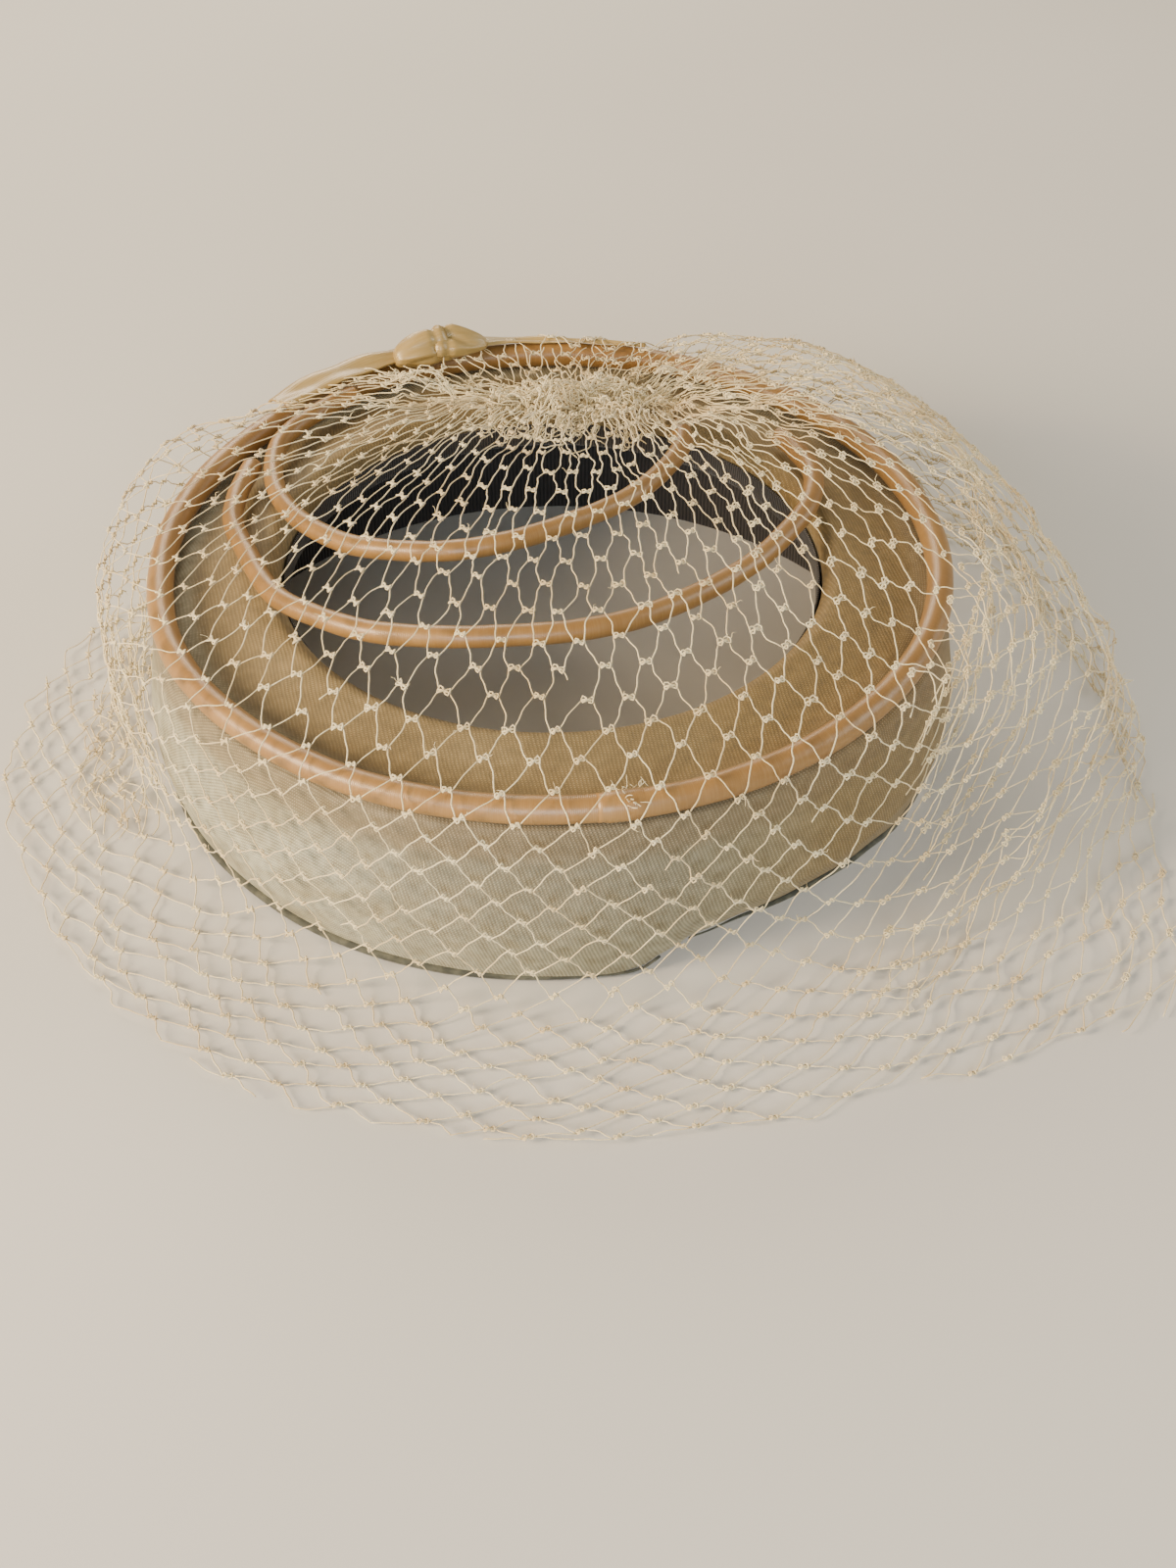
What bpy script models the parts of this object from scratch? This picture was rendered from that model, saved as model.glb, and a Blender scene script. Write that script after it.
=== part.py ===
"""A cocktail hat: a low covered ring with three satin rolls, a bow and a coarse veil.

Metres, +Z up. The origin is the centre of the head opening, on the table that the hat rests on.
-Y is the front, +X is to the right as the front is looked at, and the veil spreads furthest there.
Angles are in degrees, counted from +X towards +Y, so 270 is the front.
"""

import math

import bmesh
import bpy
from mathutils import Vector

MM = 0.001
TURN_STEPS = 60
SEAT_GAP = 0.35 * MM

# Covered foundation: one stiff cloth wall from the hem, over the top, to the lip of the crown opening
WALL = 2.0 * MM
LIP_RADIUS = 65.0 * MM
LIP_TOP = 49.4 * MM
LIP_END = 39.0 * MM
VALLEY_Z = 45.3 * MM
BELLY_RADIUS = 97.5 * MM
BELLY_Z = 19.0 * MM
HEM_RADIUS = 94.6 * MM
HEM_BLEND_Z = 17.0 * MM

# Satin covered rolls
OUTER_ROLL_RADIUS = 92.0 * MM
OUTER_ROLL_Z = 48.8 * MM
OUTER_ROLL_DIAMETER = 6.4 * MM
MIDDLE_ROLL_DIAMETER = 5.2 * MM
INNER_ROLL_DIAMETER = 5.0 * MM

# Ribbon inside the hem
RIBBON_HEIGHT = 24.0 * MM
RIBBON_THICK = 1.2 * MM
RIBBON_SHOWS = 2.6 * MM

# Bow and its band, over the back of the outer roll
BAND_THICK = 1.2 * MM
BAND_INNER = OUTER_ROLL_DIAMETER / 2 + 2.9 * MM
BAND_FROM = 74.0
BAND_TO = 139.0
BAND_STEPS = 20
BAND_SLOPES = (103.0, 88.0, 72.0, 56.0, 40.0)
BOW_LENGTH = 27.5 * MM
BOW_DEPTH = 13.0 * MM
BOW_ANGLE = 109.0
BOW_SET_IN = 1.0 * MM
BOW_HALF_GAP = 0.2 * MM
LOBE_HALF_HEIGHT = 1.7 * MM
LOBE_RISE_AT_KNOT = 1.3 * MM
LOBE_DROOP = 12.0 * MM
LOBE_DROOPS_FROM = 0.45

# Veil of knotted net
VEIL_COLUMNS = 24
VEIL_STRAND = 1.2 * MM
SHARPEST = 0.4
GATHER_CENTRE = (20.0 * MM, 62.0 * MM)
GATHER_LENGTH = 62.0 * MM
GATHER_TURN = -17.0
GATHER_DIAMETER = 13.0 * MM
GATHER_STEPS = 18
GATHER_SAG = 0.36 * MM
VEIL_MOUTH = (34.5 * MM, 9.4 * MM)
VEIL_MOUTH_Z = 56.0 * MM
VEIL_MOUTH_TILT = 5.0 * MM


def sections(names, *rows):
    """A table with a row for each section, kept by the names of its columns."""
    return dict(zip(names, zip(*rows)))


# Height of the hem above the table, in millimetres, as the soft hat stands
HEM = {
    "angle": (0, 20, 45, 90, 135, 160, 180, 215, 240, 265, 280, 286, 291, 296, 305, 320, 330, 345),
    "height": (4.0, 2.0, 1.0, 0.6, 1.0, 2.0, 2.5, 2.5, 1.5, 0.4, 0.4, 2.0, 5.5, 9.6, 10.5, 10.0, 8.5, 6.0),
}

# How far the top of the hat departs from a true circle, in millimetres
OUT_OF_ROUND = {
    "angle": (20, 90, 150, 180, 205, 230, 270, 310, 340),
    "grow": (0.2, 0.0, 0.3, 1.0, 2.0, 1.2, 0.3, 0.3, 0.8),
}

# Veil outline by angle, in millimetres: its height over the outer roll and over the opening,
# and its radius at the shoulder, half way down the wall, at the foot and at the hem on the table
VEIL = sections(
    ("angle", "crest", "arch", "shoulder", "middle", "foot", "hem"),
    (13, 64, 5, 116, 128, 134, 147),
    (33, 64, 3, 115, 122, 130, 144),
    (47, 63, 1, 115, 122, 126, 138),
    (64, 58, -1, 106, 117, 123, 132),
    (74, 53.2, -1, 96.6, 105, 118, 128),
    (100, 53.2, -1, 96.6, 102, 112, 125),
    (118, 53.2, -1, 96.6, 104, 113, 124),
    (134, 53.2, 4, 97.2, 107, 114, 124),
    (142, 54, 3, 99, 109, 114, 124),
    (157, 61, 2, 108, 111, 113, 124),
    (176, 57, 3, 107, 110, 110, 134),
    (195, 55, 5, 105, 108, 107, 139),
    (210, 54, 8, 100, 104, 107, 138),
    (240, 53.2, 11, 97.8, 102, 107, 144),
    (270, 53.2, 12, 97, 101.5, 107, 143),
    (298, 53.2, 12, 97, 102, 108, 146),
    (310, 53.2, 11, 97.5, 104, 116, 157),
    (322, 54, 11, 103, 114, 135, 174),
    (330, 56, 10, 112, 126, 143, 166),
    (343, 62, 8, 126, 141, 146, 151),
    (353, 63, 7, 120, 134, 140, 148),
)

# Where the net turns down over the outer roll: its height, reach and drop there when it lies close,
# and how much of the turn goes along when it is puffed out
REST_CREST = 53.2 * MM
REST_REACH = 4.6 * MM
TURN_REACH = 3.2 * MM
TURN_DROP = 1.4 * MM
REACH_SHARE = 0.42
LIFT_SHARE = 0.2
SHOULDER_Z = 48.8 * MM
MIDDLE_Z = 28.0 * MM
FOOT_Z = 1.4 * MM
HEM_Z = 0.9 * MM

# Centre lines of the two free rolls, in millimetres, from the back left end to the right end
MIDDLE_ROLL_PATH = (
    (-74.8, 36.5, 50.6),
    (-77.2, 24.0, 50.9),
    (-77.3, 12.0, 50.9),
    (-73.5, 0.3, 51.3),
    (-64.8, -21.1, 53.6),
    (-52.8, -34.0, 56.2),
    (-39.7, -42.8, 58.5),
    (-23.4, -46.8, 60.0),
    (-9.2, -46.9, 60.3),
    (4.9, -45.0, 60.0),
    (19.3, -39.2, 59.0),
    (34.3, -27.1, 57.0),
    (47.0, -13.6, 55.2),
    (56.1, 0.6, 53.7),
    (62.9, 14.3, 52.7),
    (65.0, 28.0, 52.4),
    (61.8, 38.5, 52.2),
    (58.0, 45.5, 52.2),
)
INNER_ROLL_PATH = (
    (-50.5, 68.3, 51.2),
    (-56.6, 64.6, 51.0),
    (-65.6, 53.6, 50.8),
    (-69.4, 42.0, 50.9),
    (-67.9, 24.9, 51.8),
    (-61.2, 8.4, 54.2),
    (-49.7, -6.9, 58.0),
    (-39.2, -14.6, 61.0),
    (-24.2, -19.0, 63.5),
    (-9.6, -16.0, 64.0),
    (5.2, -7.0, 63.0),
    (18.5, 5.6, 61.0),
    (28.3, 22.9, 58.0),
    (33.0, 37.0, 55.8),
    (32.6, 47.0, 54.4),
)


def clear_scene():
    for thing in list(bpy.data.objects):
        bpy.data.objects.remove(thing, do_unlink=True)


def new_collection(name):
    group = bpy.data.collections.new(name)
    bpy.context.scene.collection.children.link(group)
    return group


def finish(name, colour, roughness, metallic=0.0):
    """A plain Principled material in the piece's own colour."""
    made = bpy.data.materials.new(name)
    made.use_nodes = True
    shader = made.node_tree.nodes["Principled BSDF"]
    shader.inputs["Base Color"].default_value = (*colour, 1.0)
    shader.inputs["Roughness"].default_value = roughness
    shader.inputs["Metallic"].default_value = metallic
    return made


def cubic(before, start, end, after, part):
    """One span of the smooth curve that passes through every given value."""
    bend = 2 * before - 5 * start + 4 * end - after
    twist = 3 * (start - end) + after - before
    return start + 0.5 * part * (end - before + part * (bend + part * twist))


def around(table, column, degrees):
    """Read a table of sections at any angle, smoothly and the whole way round."""
    angles = table["angle"]
    values = table[column]
    count = len(angles)
    degrees = degrees % 360.0
    last = max((i for i in range(count) if angles[i] <= degrees), default=count - 1)
    start = angles[last] if angles[last] <= degrees else angles[last] - 360.0
    following = (last + 1) % count
    width = (angles[following] - start) % 360.0
    part = (degrees - start) / width
    eased = part * part * (3 - 2 * part)
    return values[last] + (values[following] - values[last]) * eased


def smooth_path(points, pieces):
    """Points in metres along the smooth curve through a route given in millimetres."""
    last = len(points) - 1
    path = []
    for i in range(last):
        span = [points[max(i - 1, 0)], points[i], points[i + 1], points[min(i + 2, last)]]
        for k in range(pieces):
            path.append(Vector([cubic(*[p[axis] for p in span], k / pieces) * MM for axis in range(3)]))
    path.append(Vector(points[last]) * MM)
    return path


def add_mesh(name, bm, group, material):
    mesh = bpy.data.meshes.new(name)
    bm.to_mesh(mesh)
    bm.free()
    piece = bpy.data.objects.new(name, mesh)
    group.objects.link(piece)
    mesh.materials.append(material)
    mesh.shade_smooth()
    return piece


def turned(name, profile, start=0.0, sweep=360.0, steps=TURN_STEPS):
    """A bmesh turned from a profile of (radius, height) pairs that runs down the outer side."""
    mesh = bpy.data.meshes.new(name)
    outline = bmesh.new()
    points = [outline.verts.new((radius, 0.0, height)) for radius, height in profile]
    for upper, lower in zip(points, points[1:]):
        outline.edges.new((upper, lower))
    outline.to_mesh(mesh)
    outline.free()
    guide = bpy.data.objects.new(name + "_profile", mesh)
    bpy.context.scene.collection.objects.link(guide)
    guide.rotation_euler.z = math.radians(start)
    screw = guide.modifiers.new("turn", "SCREW")
    screw.angle = math.radians(sweep)
    screw.steps = steps
    screw.render_steps = steps
    screw.use_merge_vertices = sweep == 360.0
    screw.merge_threshold = 0.00001
    bpy.context.view_layer.update()
    turned_guide = guide.evaluated_get(bpy.context.evaluated_depsgraph_get())
    result = bmesh.new()
    result.from_mesh(bpy.data.meshes.new_from_object(turned_guide))
    result.transform(guide.matrix_world)
    bpy.data.objects.remove(guide, do_unlink=True)
    return result


def wall_thickness(piece, thickness):
    solid = piece.modifiers.new("wall", "SOLIDIFY")
    solid.thickness = thickness
    solid.offset = -1.0
    return solid


def polar(point):
    return math.hypot(point.x, point.y), math.degrees(math.atan2(point.y, point.x)) % 360.0


def place(radius, degrees, height):
    turn = math.radians(degrees)
    return Vector((radius * math.cos(turn), radius * math.sin(turn), height))


def out_of_round(radius, degrees):
    """The soft hat is a little longer to the left: the growth fades out towards the lip."""
    share = (radius - LIP_RADIUS) / (OUTER_ROLL_RADIUS - LIP_RADIUS)
    return around(OUT_OF_ROUND, "grow", degrees) * MM * min(max(share, 0.0), 1.0)


def settle(bm, bottom_at):
    """Push a turned wall out of round and let its lower edge follow the hem."""
    lowest = min(point.co.z for point in bm.verts)
    for point in bm.verts:
        radius, degrees = polar(point.co)
        height = point.co.z
        if height < HEM_BLEND_Z:
            share = (HEM_BLEND_Z - height) / (HEM_BLEND_Z - lowest)
            height = HEM_BLEND_Z + (bottom_at(degrees) - HEM_BLEND_Z) * share
        point.co = place(radius + out_of_round(radius, degrees), degrees, height)


def hem_height(degrees):
    return around(HEM, "height", degrees) * MM


def ribbon_bottom(degrees):
    return max(hem_height(degrees) - RIBBON_SHOWS, 0.0)


def make_hat_body(group, material):
    """The covered ring: lip, sloping top, seat for the outer roll, and the bellied wall."""
    profile = (
        (LIP_RADIUS + 0.4 * MM, LIP_END),
        (LIP_RADIUS + 0.2 * MM, LIP_TOP - 3.2 * MM),
        (LIP_RADIUS + 3.0 * MM, LIP_TOP),
        (LIP_RADIUS + 7.0 * MM, LIP_TOP - 0.7 * MM),
        (LIP_RADIUS + 15.0 * MM, VALLEY_Z + 1.1 * MM),
        (OUTER_ROLL_RADIUS - 3.8 * MM, VALLEY_Z + 0.2 * MM),
        (OUTER_ROLL_RADIUS + 0.6 * MM, VALLEY_Z - 0.1 * MM),
        (OUTER_ROLL_RADIUS + 2.4 * MM, VALLEY_Z - 1.2 * MM),
        (OUTER_ROLL_RADIUS + 2.7 * MM, VALLEY_Z - 4.5 * MM),
        (BELLY_RADIUS - 1.6 * MM, BELLY_Z + 12.0 * MM),
        (BELLY_RADIUS, BELLY_Z),
        (BELLY_RADIUS - 0.7 * MM, BELLY_Z - 9.0 * MM),
        (HEM_RADIUS, 0.0),
    )
    bm = turned("hat_body", profile)
    settle(bm, hem_height)
    wall_thickness(add_mesh("hat_body", bm, group, material), WALL)


def make_head_ribbon(group, material):
    """A ribbon band inside the hem, whose lower edge shows under it and meets the table."""
    inset = WALL + SEAT_GAP
    profile = (
        (BELLY_RADIUS - inset - 0.6 * MM, RIBBON_HEIGHT),
        (HEM_RADIUS - inset, RIBBON_HEIGHT / 2),
        (HEM_RADIUS - inset, 0.0),
    )
    bm = turned("head_ribbon", profile)
    settle(bm, ribbon_bottom)
    wall_thickness(add_mesh("head_ribbon", bm, group, material), RIBBON_THICK)


def make_cord(name, points, diameter, group, material, closed=False, swell=None):
    """A covered cord: a bevelled curve with filled ends."""
    curve = bpy.data.curves.new(name, "CURVE")
    curve.dimensions = "3D"
    curve.bevel_depth = diameter / 2
    curve.bevel_resolution = 2
    curve.use_fill_caps = True
    spline = curve.splines.new("POLY")
    spline.points.add(len(points) - 1)
    for i, point in enumerate(points):
        spline.points[i].co = (*point, 1.0)
        if swell:
            spline.points[i].radius = swell(i / (len(points) - 1))
    spline.use_cyclic_u = closed
    curve.materials.append(material)
    piece = bpy.data.objects.new(name, curve)
    group.objects.link(piece)


def make_outer_roll(group, material):
    points = []
    for step in range(TURN_STEPS):
        degrees = 360.0 * step / TURN_STEPS
        radius = OUTER_ROLL_RADIUS + out_of_round(OUTER_ROLL_RADIUS, degrees)
        points.append(place(radius, degrees, OUTER_ROLL_Z))
    make_cord("outer_roll", points, OUTER_ROLL_DIAMETER, group, material, closed=True)


def make_bow_band(group, material):
    """Ribbon laid over the roll and the net, as a shallow turned arch."""
    outer = BAND_INNER + BAND_THICK
    profile = []
    for slope in BAND_SLOPES:
        turn = math.radians(slope)
        profile.append((OUTER_ROLL_RADIUS + outer * math.cos(turn), OUTER_ROLL_Z + outer * math.sin(turn)))
    bm = turned("bow_band", profile, BAND_FROM, BAND_TO - BAND_FROM, BAND_STEPS)
    for point in bm.verts:
        radius, degrees = polar(point.co)
        point.co = place(radius + out_of_round(radius, degrees), degrees, point.co.z)
    wall_thickness(add_mesh("bow_band", bm, group, material), BAND_THICK)


def make_bow_lobe(name, side, group, material):
    """One folded half of the bow: a soft lobe, thicker at the middle, that droops inwards."""
    seat = OUTER_ROLL_Z + BAND_INNER + BAND_THICK + SEAT_GAP
    half = BOW_LENGTH / 4 - BOW_HALF_GAP
    middle = place(OUTER_ROLL_RADIUS - BOW_SET_IN, BOW_ANGLE, 0.0)
    outwards = place(1.0, BOW_ANGLE, 0.0)
    rightwards = place(1.0, BOW_ANGLE - 90.0, 0.0)
    bm = bmesh.new()
    bmesh.ops.create_uvsphere(bm, u_segments=14, v_segments=8, radius=1.0)
    for point in bm.verts:
        along, across, up = point.co
        towards_knot = 0.5 * (1.0 - side * along)
        height = LOBE_HALF_HEIGHT + LOBE_RISE_AT_KNOT * towards_knot
        droop = LOBE_DROOP * max(-LOBE_DROOPS_FROM - across, 0.0) ** 2
        spot = middle + rightwards * (side * (half + BOW_HALF_GAP) + along * half)
        spot += outwards * (across * BOW_DEPTH / 2)
        spot.z = seat + height + up * height - droop
        point.co = spot
    add_mesh(name, bm, group, material)


def veil_profile(degrees):
    """Radius and height of the net from over the outer roll down to its hem."""
    grow = around(OUT_OF_ROUND, "grow", degrees) * MM
    crest = around(VEIL, "crest", degrees) * MM
    shoulder = around(VEIL, "shoulder", degrees) * MM + grow
    top = OUTER_ROLL_RADIUS + grow
    reach = TURN_REACH + REACH_SHARE * (shoulder - top - REST_REACH)
    drop = TURN_DROP + LIFT_SHARE * (crest - REST_CREST)
    return (
        (top, crest),
        (top + reach, crest - drop),
        (shoulder, SHOULDER_Z),
        (around(VEIL, "middle", degrees) * MM, MIDDLE_Z),
        (around(VEIL, "foot", degrees) * MM, FOOT_Z),
        (around(VEIL, "hem", degrees) * MM, HEM_Z),
    )


def veil_point(degrees, level):
    """A point of the net: level 0 is its mouth at the gather, 1 the outer roll and 6 the hem."""
    profile = veil_profile(degrees)
    if level >= 1.0:
        span = min(int(level) - 1, len(profile) - 2)
        part = level - 1 - span
        (r0, z0), (r1, z1) = profile[span], profile[span + 1]
        return place(r0 + (r1 - r0) * part, degrees, z0 + (z1 - z0) * part)
    turn = math.radians(GATHER_TURN)
    facing = math.radians(degrees) - turn
    along = VEIL_MOUTH[0] * math.cos(facing)
    across = VEIL_MOUTH[1] * math.sin(facing)
    mouth = Vector((
        GATHER_CENTRE[0] + along * math.cos(turn) - across * math.sin(turn),
        GATHER_CENTRE[1] + along * math.sin(turn) + across * math.cos(turn),
        VEIL_MOUTH_Z - VEIL_MOUTH_TILT * math.sin(math.radians(degrees)),
    ))
    crest_radius, crest_height = profile[0]
    point = mouth.lerp(place(crest_radius, degrees, crest_height), level)
    point.z += around(VEIL, "arch", degrees) * MM * 4 * level * (1 - level)
    return point


def pierce(bm, half_strand):
    """Open every face of a net's lattice, leaving a strand of even width along each side."""
    bmesh.ops.recalc_face_normals(bm, faces=bm.faces)
    bm.normal_update()
    openings = {}
    for face in bm.faces:
        inner = []
        for corner in face.loops:
            here = corner.vert
            ahead = here.normal.cross(corner.link_loop_next.vert.co - here.co).normalized()
            behind = (corner.link_loop_prev.vert.co - here.co).cross(here.normal).normalized()
            inwards = ahead + behind
            inner.append(here.co + inwards * half_strand / max(inwards.length_squared / 2, SHARPEST))
        openings[face] = inner
    bmesh.ops.inset_individual(bm, faces=list(openings), thickness=half_strand)
    for face, inner in openings.items():
        for point, spot in zip(face.verts, inner):
            point.co = spot
    bmesh.ops.delete(bm, geom=list(openings), context="FACES")


def make_veil(group, material):
    """A coarse net of diamond meshes: strands round each face of a lattice on the veil's form."""
    rows = (0.0, 0.5, 1.0, 5.0, 6.0)
    between = ((), (0.75,), (2.0, 3.0, 4.0), ())
    bm = bmesh.new()
    made = {}

    def spot(degrees, level):
        key = (round(degrees % 360.0, 3), round(level, 3))
        if key not in made:
            made[key] = bm.verts.new(veil_point(degrees, level))
        return made[key]

    def knot_angle(row, column):
        return (column + 0.5 * (row % 2)) * 360.0 / VEIL_COLUMNS

    def strand(row, start, end):
        """Points from a knot on one row down to a knot on the next, without the last one."""
        points = [spot(start, rows[row])]
        for level in between[row]:
            part = (level - rows[row]) / (rows[row + 1] - rows[row])
            points.append(spot(start + (end - start) * part, level))
        return points

    def hem_run(start, end):
        return [spot(start, rows[4]), spot((start + end) / 2, rows[4])]

    def rising(row, low, high):
        """The same strand walked upwards."""
        return [spot(low, rows[row + 1])] + strand(row, high, low)[:0:-1]

    for row in range(len(rows)):
        for column in range(VEIL_COLUMNS):
            left = knot_angle(row, column)
            right = knot_angle(row, column + 1)
            centre = (left + right) / 2
            loop = []
            if row > 0:
                loop += strand(row - 1, centre, left)
            if row < len(rows) - 1:
                loop += strand(row, left, centre)
                loop += rising(row, centre, right)
            else:
                loop += hem_run(left, right)
            if row > 0:
                loop += rising(row - 1, right, centre)
            else:
                loop += [spot(right, rows[0])]
            bm.faces.new(loop)
    pierce(bm, VEIL_STRAND / 2)
    wall = wall_thickness(add_mesh("veil", bm, group, material), VEIL_STRAND)
    wall.offset = 0.0


def make_veil_gather(group, material):
    """The tangle where the net is drawn together, as one lumpy soft bunch on the lip."""
    turn = math.radians(GATHER_TURN)
    seat = LIP_TOP + 0.46 * GATHER_DIAMETER + SEAT_GAP
    points = []
    for i in range(GATHER_STEPS + 1):
        part = i / GATHER_STEPS
        along = (part - 0.5) * GATHER_LENGTH
        x = GATHER_CENTRE[0] + along * math.cos(turn)
        y = GATHER_CENTRE[1] + along * math.sin(turn)
        points.append(Vector((x, y, seat + GATHER_SAG * math.sin(9.0 * part))))

    def lumps(part):
        full = math.sin(math.pi * (0.06 + 0.88 * part)) ** 0.5
        return full * (0.9 + 0.08 * math.sin(21.0 * part + 0.5))

    make_cord("veil_gather", points, GATHER_DIAMETER, group, material, swell=lumps)


def main():
    clear_scene()
    group = new_collection("cocktail_hat")
    cloth = finish("covering cloth", (0.42, 0.36, 0.25), 0.85)
    satin = finish("copper satin", (0.58, 0.33, 0.19), 0.4)
    pale_satin = finish("pale gold satin", (0.66, 0.55, 0.36), 0.45)
    ribbon = finish("dark ribbon", (0.02, 0.016, 0.014), 0.7)
    net = finish("cream net", (0.72, 0.63, 0.46), 0.8)
    make_hat_body(group, cloth)
    make_head_ribbon(group, ribbon)
    make_outer_roll(group, satin)
    make_cord("middle_roll", smooth_path(MIDDLE_ROLL_PATH, 2), MIDDLE_ROLL_DIAMETER, group, satin)
    make_cord("inner_roll", smooth_path(INNER_ROLL_PATH, 2), INNER_ROLL_DIAMETER, group, satin)
    make_bow_band(group, pale_satin)
    make_bow_lobe("bow_loop", -1, group, pale_satin)
    make_bow_lobe("bow_fold", 1, group, pale_satin)
    make_veil(group, net)
    make_veil_gather(group, net)


main()
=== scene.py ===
# %% [markdown]
# # A cocktail hat under a veil
#
# The hat is a low ring covered in ribbed cloth. Three satin rolls lie on it, a small bow sits at the
# back, and a knotted net is drawn together behind the crown opening and spreads down to the table.
# The solids of the hat are loaded as a fixed frame. This script dresses them: each cell makes one
# piece or one finish, in the hat's own frame, so a piece goes where the solid it stands for is.

# %% Load the frame
import math
import random

import bmesh
import bpy
from mathutils import Matrix, Vector
from mathutils.noise import noise_vector


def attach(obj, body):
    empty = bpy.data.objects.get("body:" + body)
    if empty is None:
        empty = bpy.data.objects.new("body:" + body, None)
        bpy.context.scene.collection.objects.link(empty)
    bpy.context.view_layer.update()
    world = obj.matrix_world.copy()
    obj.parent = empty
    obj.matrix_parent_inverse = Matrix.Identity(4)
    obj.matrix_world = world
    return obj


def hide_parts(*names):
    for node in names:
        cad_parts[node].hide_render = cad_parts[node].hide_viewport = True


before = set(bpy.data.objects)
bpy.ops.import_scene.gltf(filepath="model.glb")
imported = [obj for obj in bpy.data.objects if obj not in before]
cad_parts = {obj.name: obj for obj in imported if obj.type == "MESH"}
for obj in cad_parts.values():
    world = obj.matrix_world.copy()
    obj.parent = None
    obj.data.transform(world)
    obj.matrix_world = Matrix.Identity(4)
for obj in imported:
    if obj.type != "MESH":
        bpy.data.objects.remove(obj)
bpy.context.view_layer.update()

MM = 0.001
print("solids loaded:", sorted(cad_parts))

# %% [markdown]
# ## Camera
#
# The picture is taken from the front, a little more than forty degrees above the table, from about
# half a metre away. A longer lens would flatten the ring and a shorter one would swell its front.

# %% Camera
EYE = Vector((0.0, -0.4616, 0.3789))
GAZE = Vector((0.0141, 0.7526, -0.6582))

lens = bpy.data.cameras.new("front_camera")
lens.lens = 54.0
lens.sensor_width = 36.0
lens.clip_start = 0.01
camera = bpy.data.objects.new("front_camera", lens)
camera.location = EYE
camera.rotation_euler = GAZE.to_track_quat("-Z", "Y").to_euler()
bpy.context.scene.collection.objects.link(camera)
bpy.context.scene.camera = camera
print("camera", tuple(round(v, 3) for v in camera.location))

# %% [markdown]
# ## Shader maths
#
# A material is a net of nodes. Written as plain calls it is hard to read, so one small class wraps a
# node's output and lets sums be written as sums: each operator adds one Math node. Every other node
# comes from one method, which takes the node's type, its settings and its inputs.


# %% A socket that can be added and multiplied
class Socket:
    def __init__(self, tree, link=None):
        self.tree = tree
        self.link = link

    def node(self, kind, settings=(), inputs=(), output=0):
        made = self.tree.nodes.new("ShaderNode" + kind)
        for name, value in dict(settings).items():
            setattr(made, name, value)
        for name, value in dict(inputs).items():
            if isinstance(value, Socket):
                self.tree.links.new(value.link, made.inputs[name])
            else:
                made.inputs[name].default_value = value
        return Socket(self.tree, made.outputs[output])

    def out(self, output):
        """Another output of the same node."""
        return Socket(self.tree, self.link.node.outputs[output])

    def maths(self, operation, *values):
        return self.node("Math", {"operation": operation}, dict(enumerate(values)))

    def __add__(self, other):
        return self.maths("ADD", self, other)

    def __radd__(self, other):
        return self.maths("ADD", other, self)

    def __sub__(self, other):
        return self.maths("SUBTRACT", self, other)

    def __rsub__(self, other):
        return self.maths("SUBTRACT", other, self)

    def __mul__(self, other):
        return self.maths("MULTIPLY", self, other)

    def __rmul__(self, other):
        return self.maths("MULTIPLY", other, self)

    def __truediv__(self, other):
        return self.maths("DIVIDE", self, other)

    def sine(self):
        return self.maths("SINE", self)

    def between(self, low, high):
        """0 below low, 1 above high and a smooth step in between."""
        settings = {"interpolation_type": "SMOOTHSTEP"}
        return self.node("MapRange", settings, {"Value": self, "From Min": low, "From Max": high})

    def mix(self, first, second):
        """The first colour where this is 0 and the second where it is 1."""
        settings = {"data_type": "RGBA"}
        colours = [(*c, 1.0) if isinstance(c, tuple) else c for c in (first, second)]
        inputs = {0: self, 6: colours[0], 7: colours[1]}
        return self.node("Mix", settings, inputs, output=2)


def noise(tree, place, scale, detail=3.0):
    return tree.node("TexNoise", {}, {"Vector": place, "Scale": scale, "Detail": detail})


def bump(tree, height, depth, strength=1.0, **over):
    """Relief of a depth in metres; Normal gives a coarser relief that it lies over."""
    return tree.node("Bump", {}, {"Height": height, "Distance": depth, "Strength": strength, **over})


def coat(tree, links, **fixed):
    """A finish: the sockets that vary over the surface, and the shader's own fixed values."""
    material = tree.material
    shader = material.node_tree.nodes["Principled BSDF"]
    for socket, value in links.items():
        material.node_tree.links.new(value.link, shader.inputs[socket])
    for socket, value in fixed.items():
        shader.inputs[socket.replace("_", " ")].default_value = value
    print("finish:", material.name, len(material.node_tree.nodes), "nodes")
    return material


def new_tree(name):
    material = bpy.data.materials.new(name)
    material.use_nodes = True
    tree = Socket(material.node_tree)
    tree.material = material
    return tree


def uv_lengths(tree):
    """Distances in millimetres along a piece and across it, kept in its UV map."""
    split = tree.node("SeparateXYZ", {}, {0: tree.node("UVMap", {"uv_map": "UVMap"})})
    return split, split.out(1)


# %% [markdown]
# ## Covering cloth
#
# The ring is covered in a beige cloth with fine cords woven in. It is cut on the slant and stretched,
# so the cords run across the top, slant on the left of the wall and stand upright at the front.
# Each direction is a sine of a distance measured on the cloth, and soft masks join them.

# %% Covering cloth
CORD = 0.85
THREAD = 0.6
WALL_TURN = 95.0
TAU = 2 * math.pi


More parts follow.
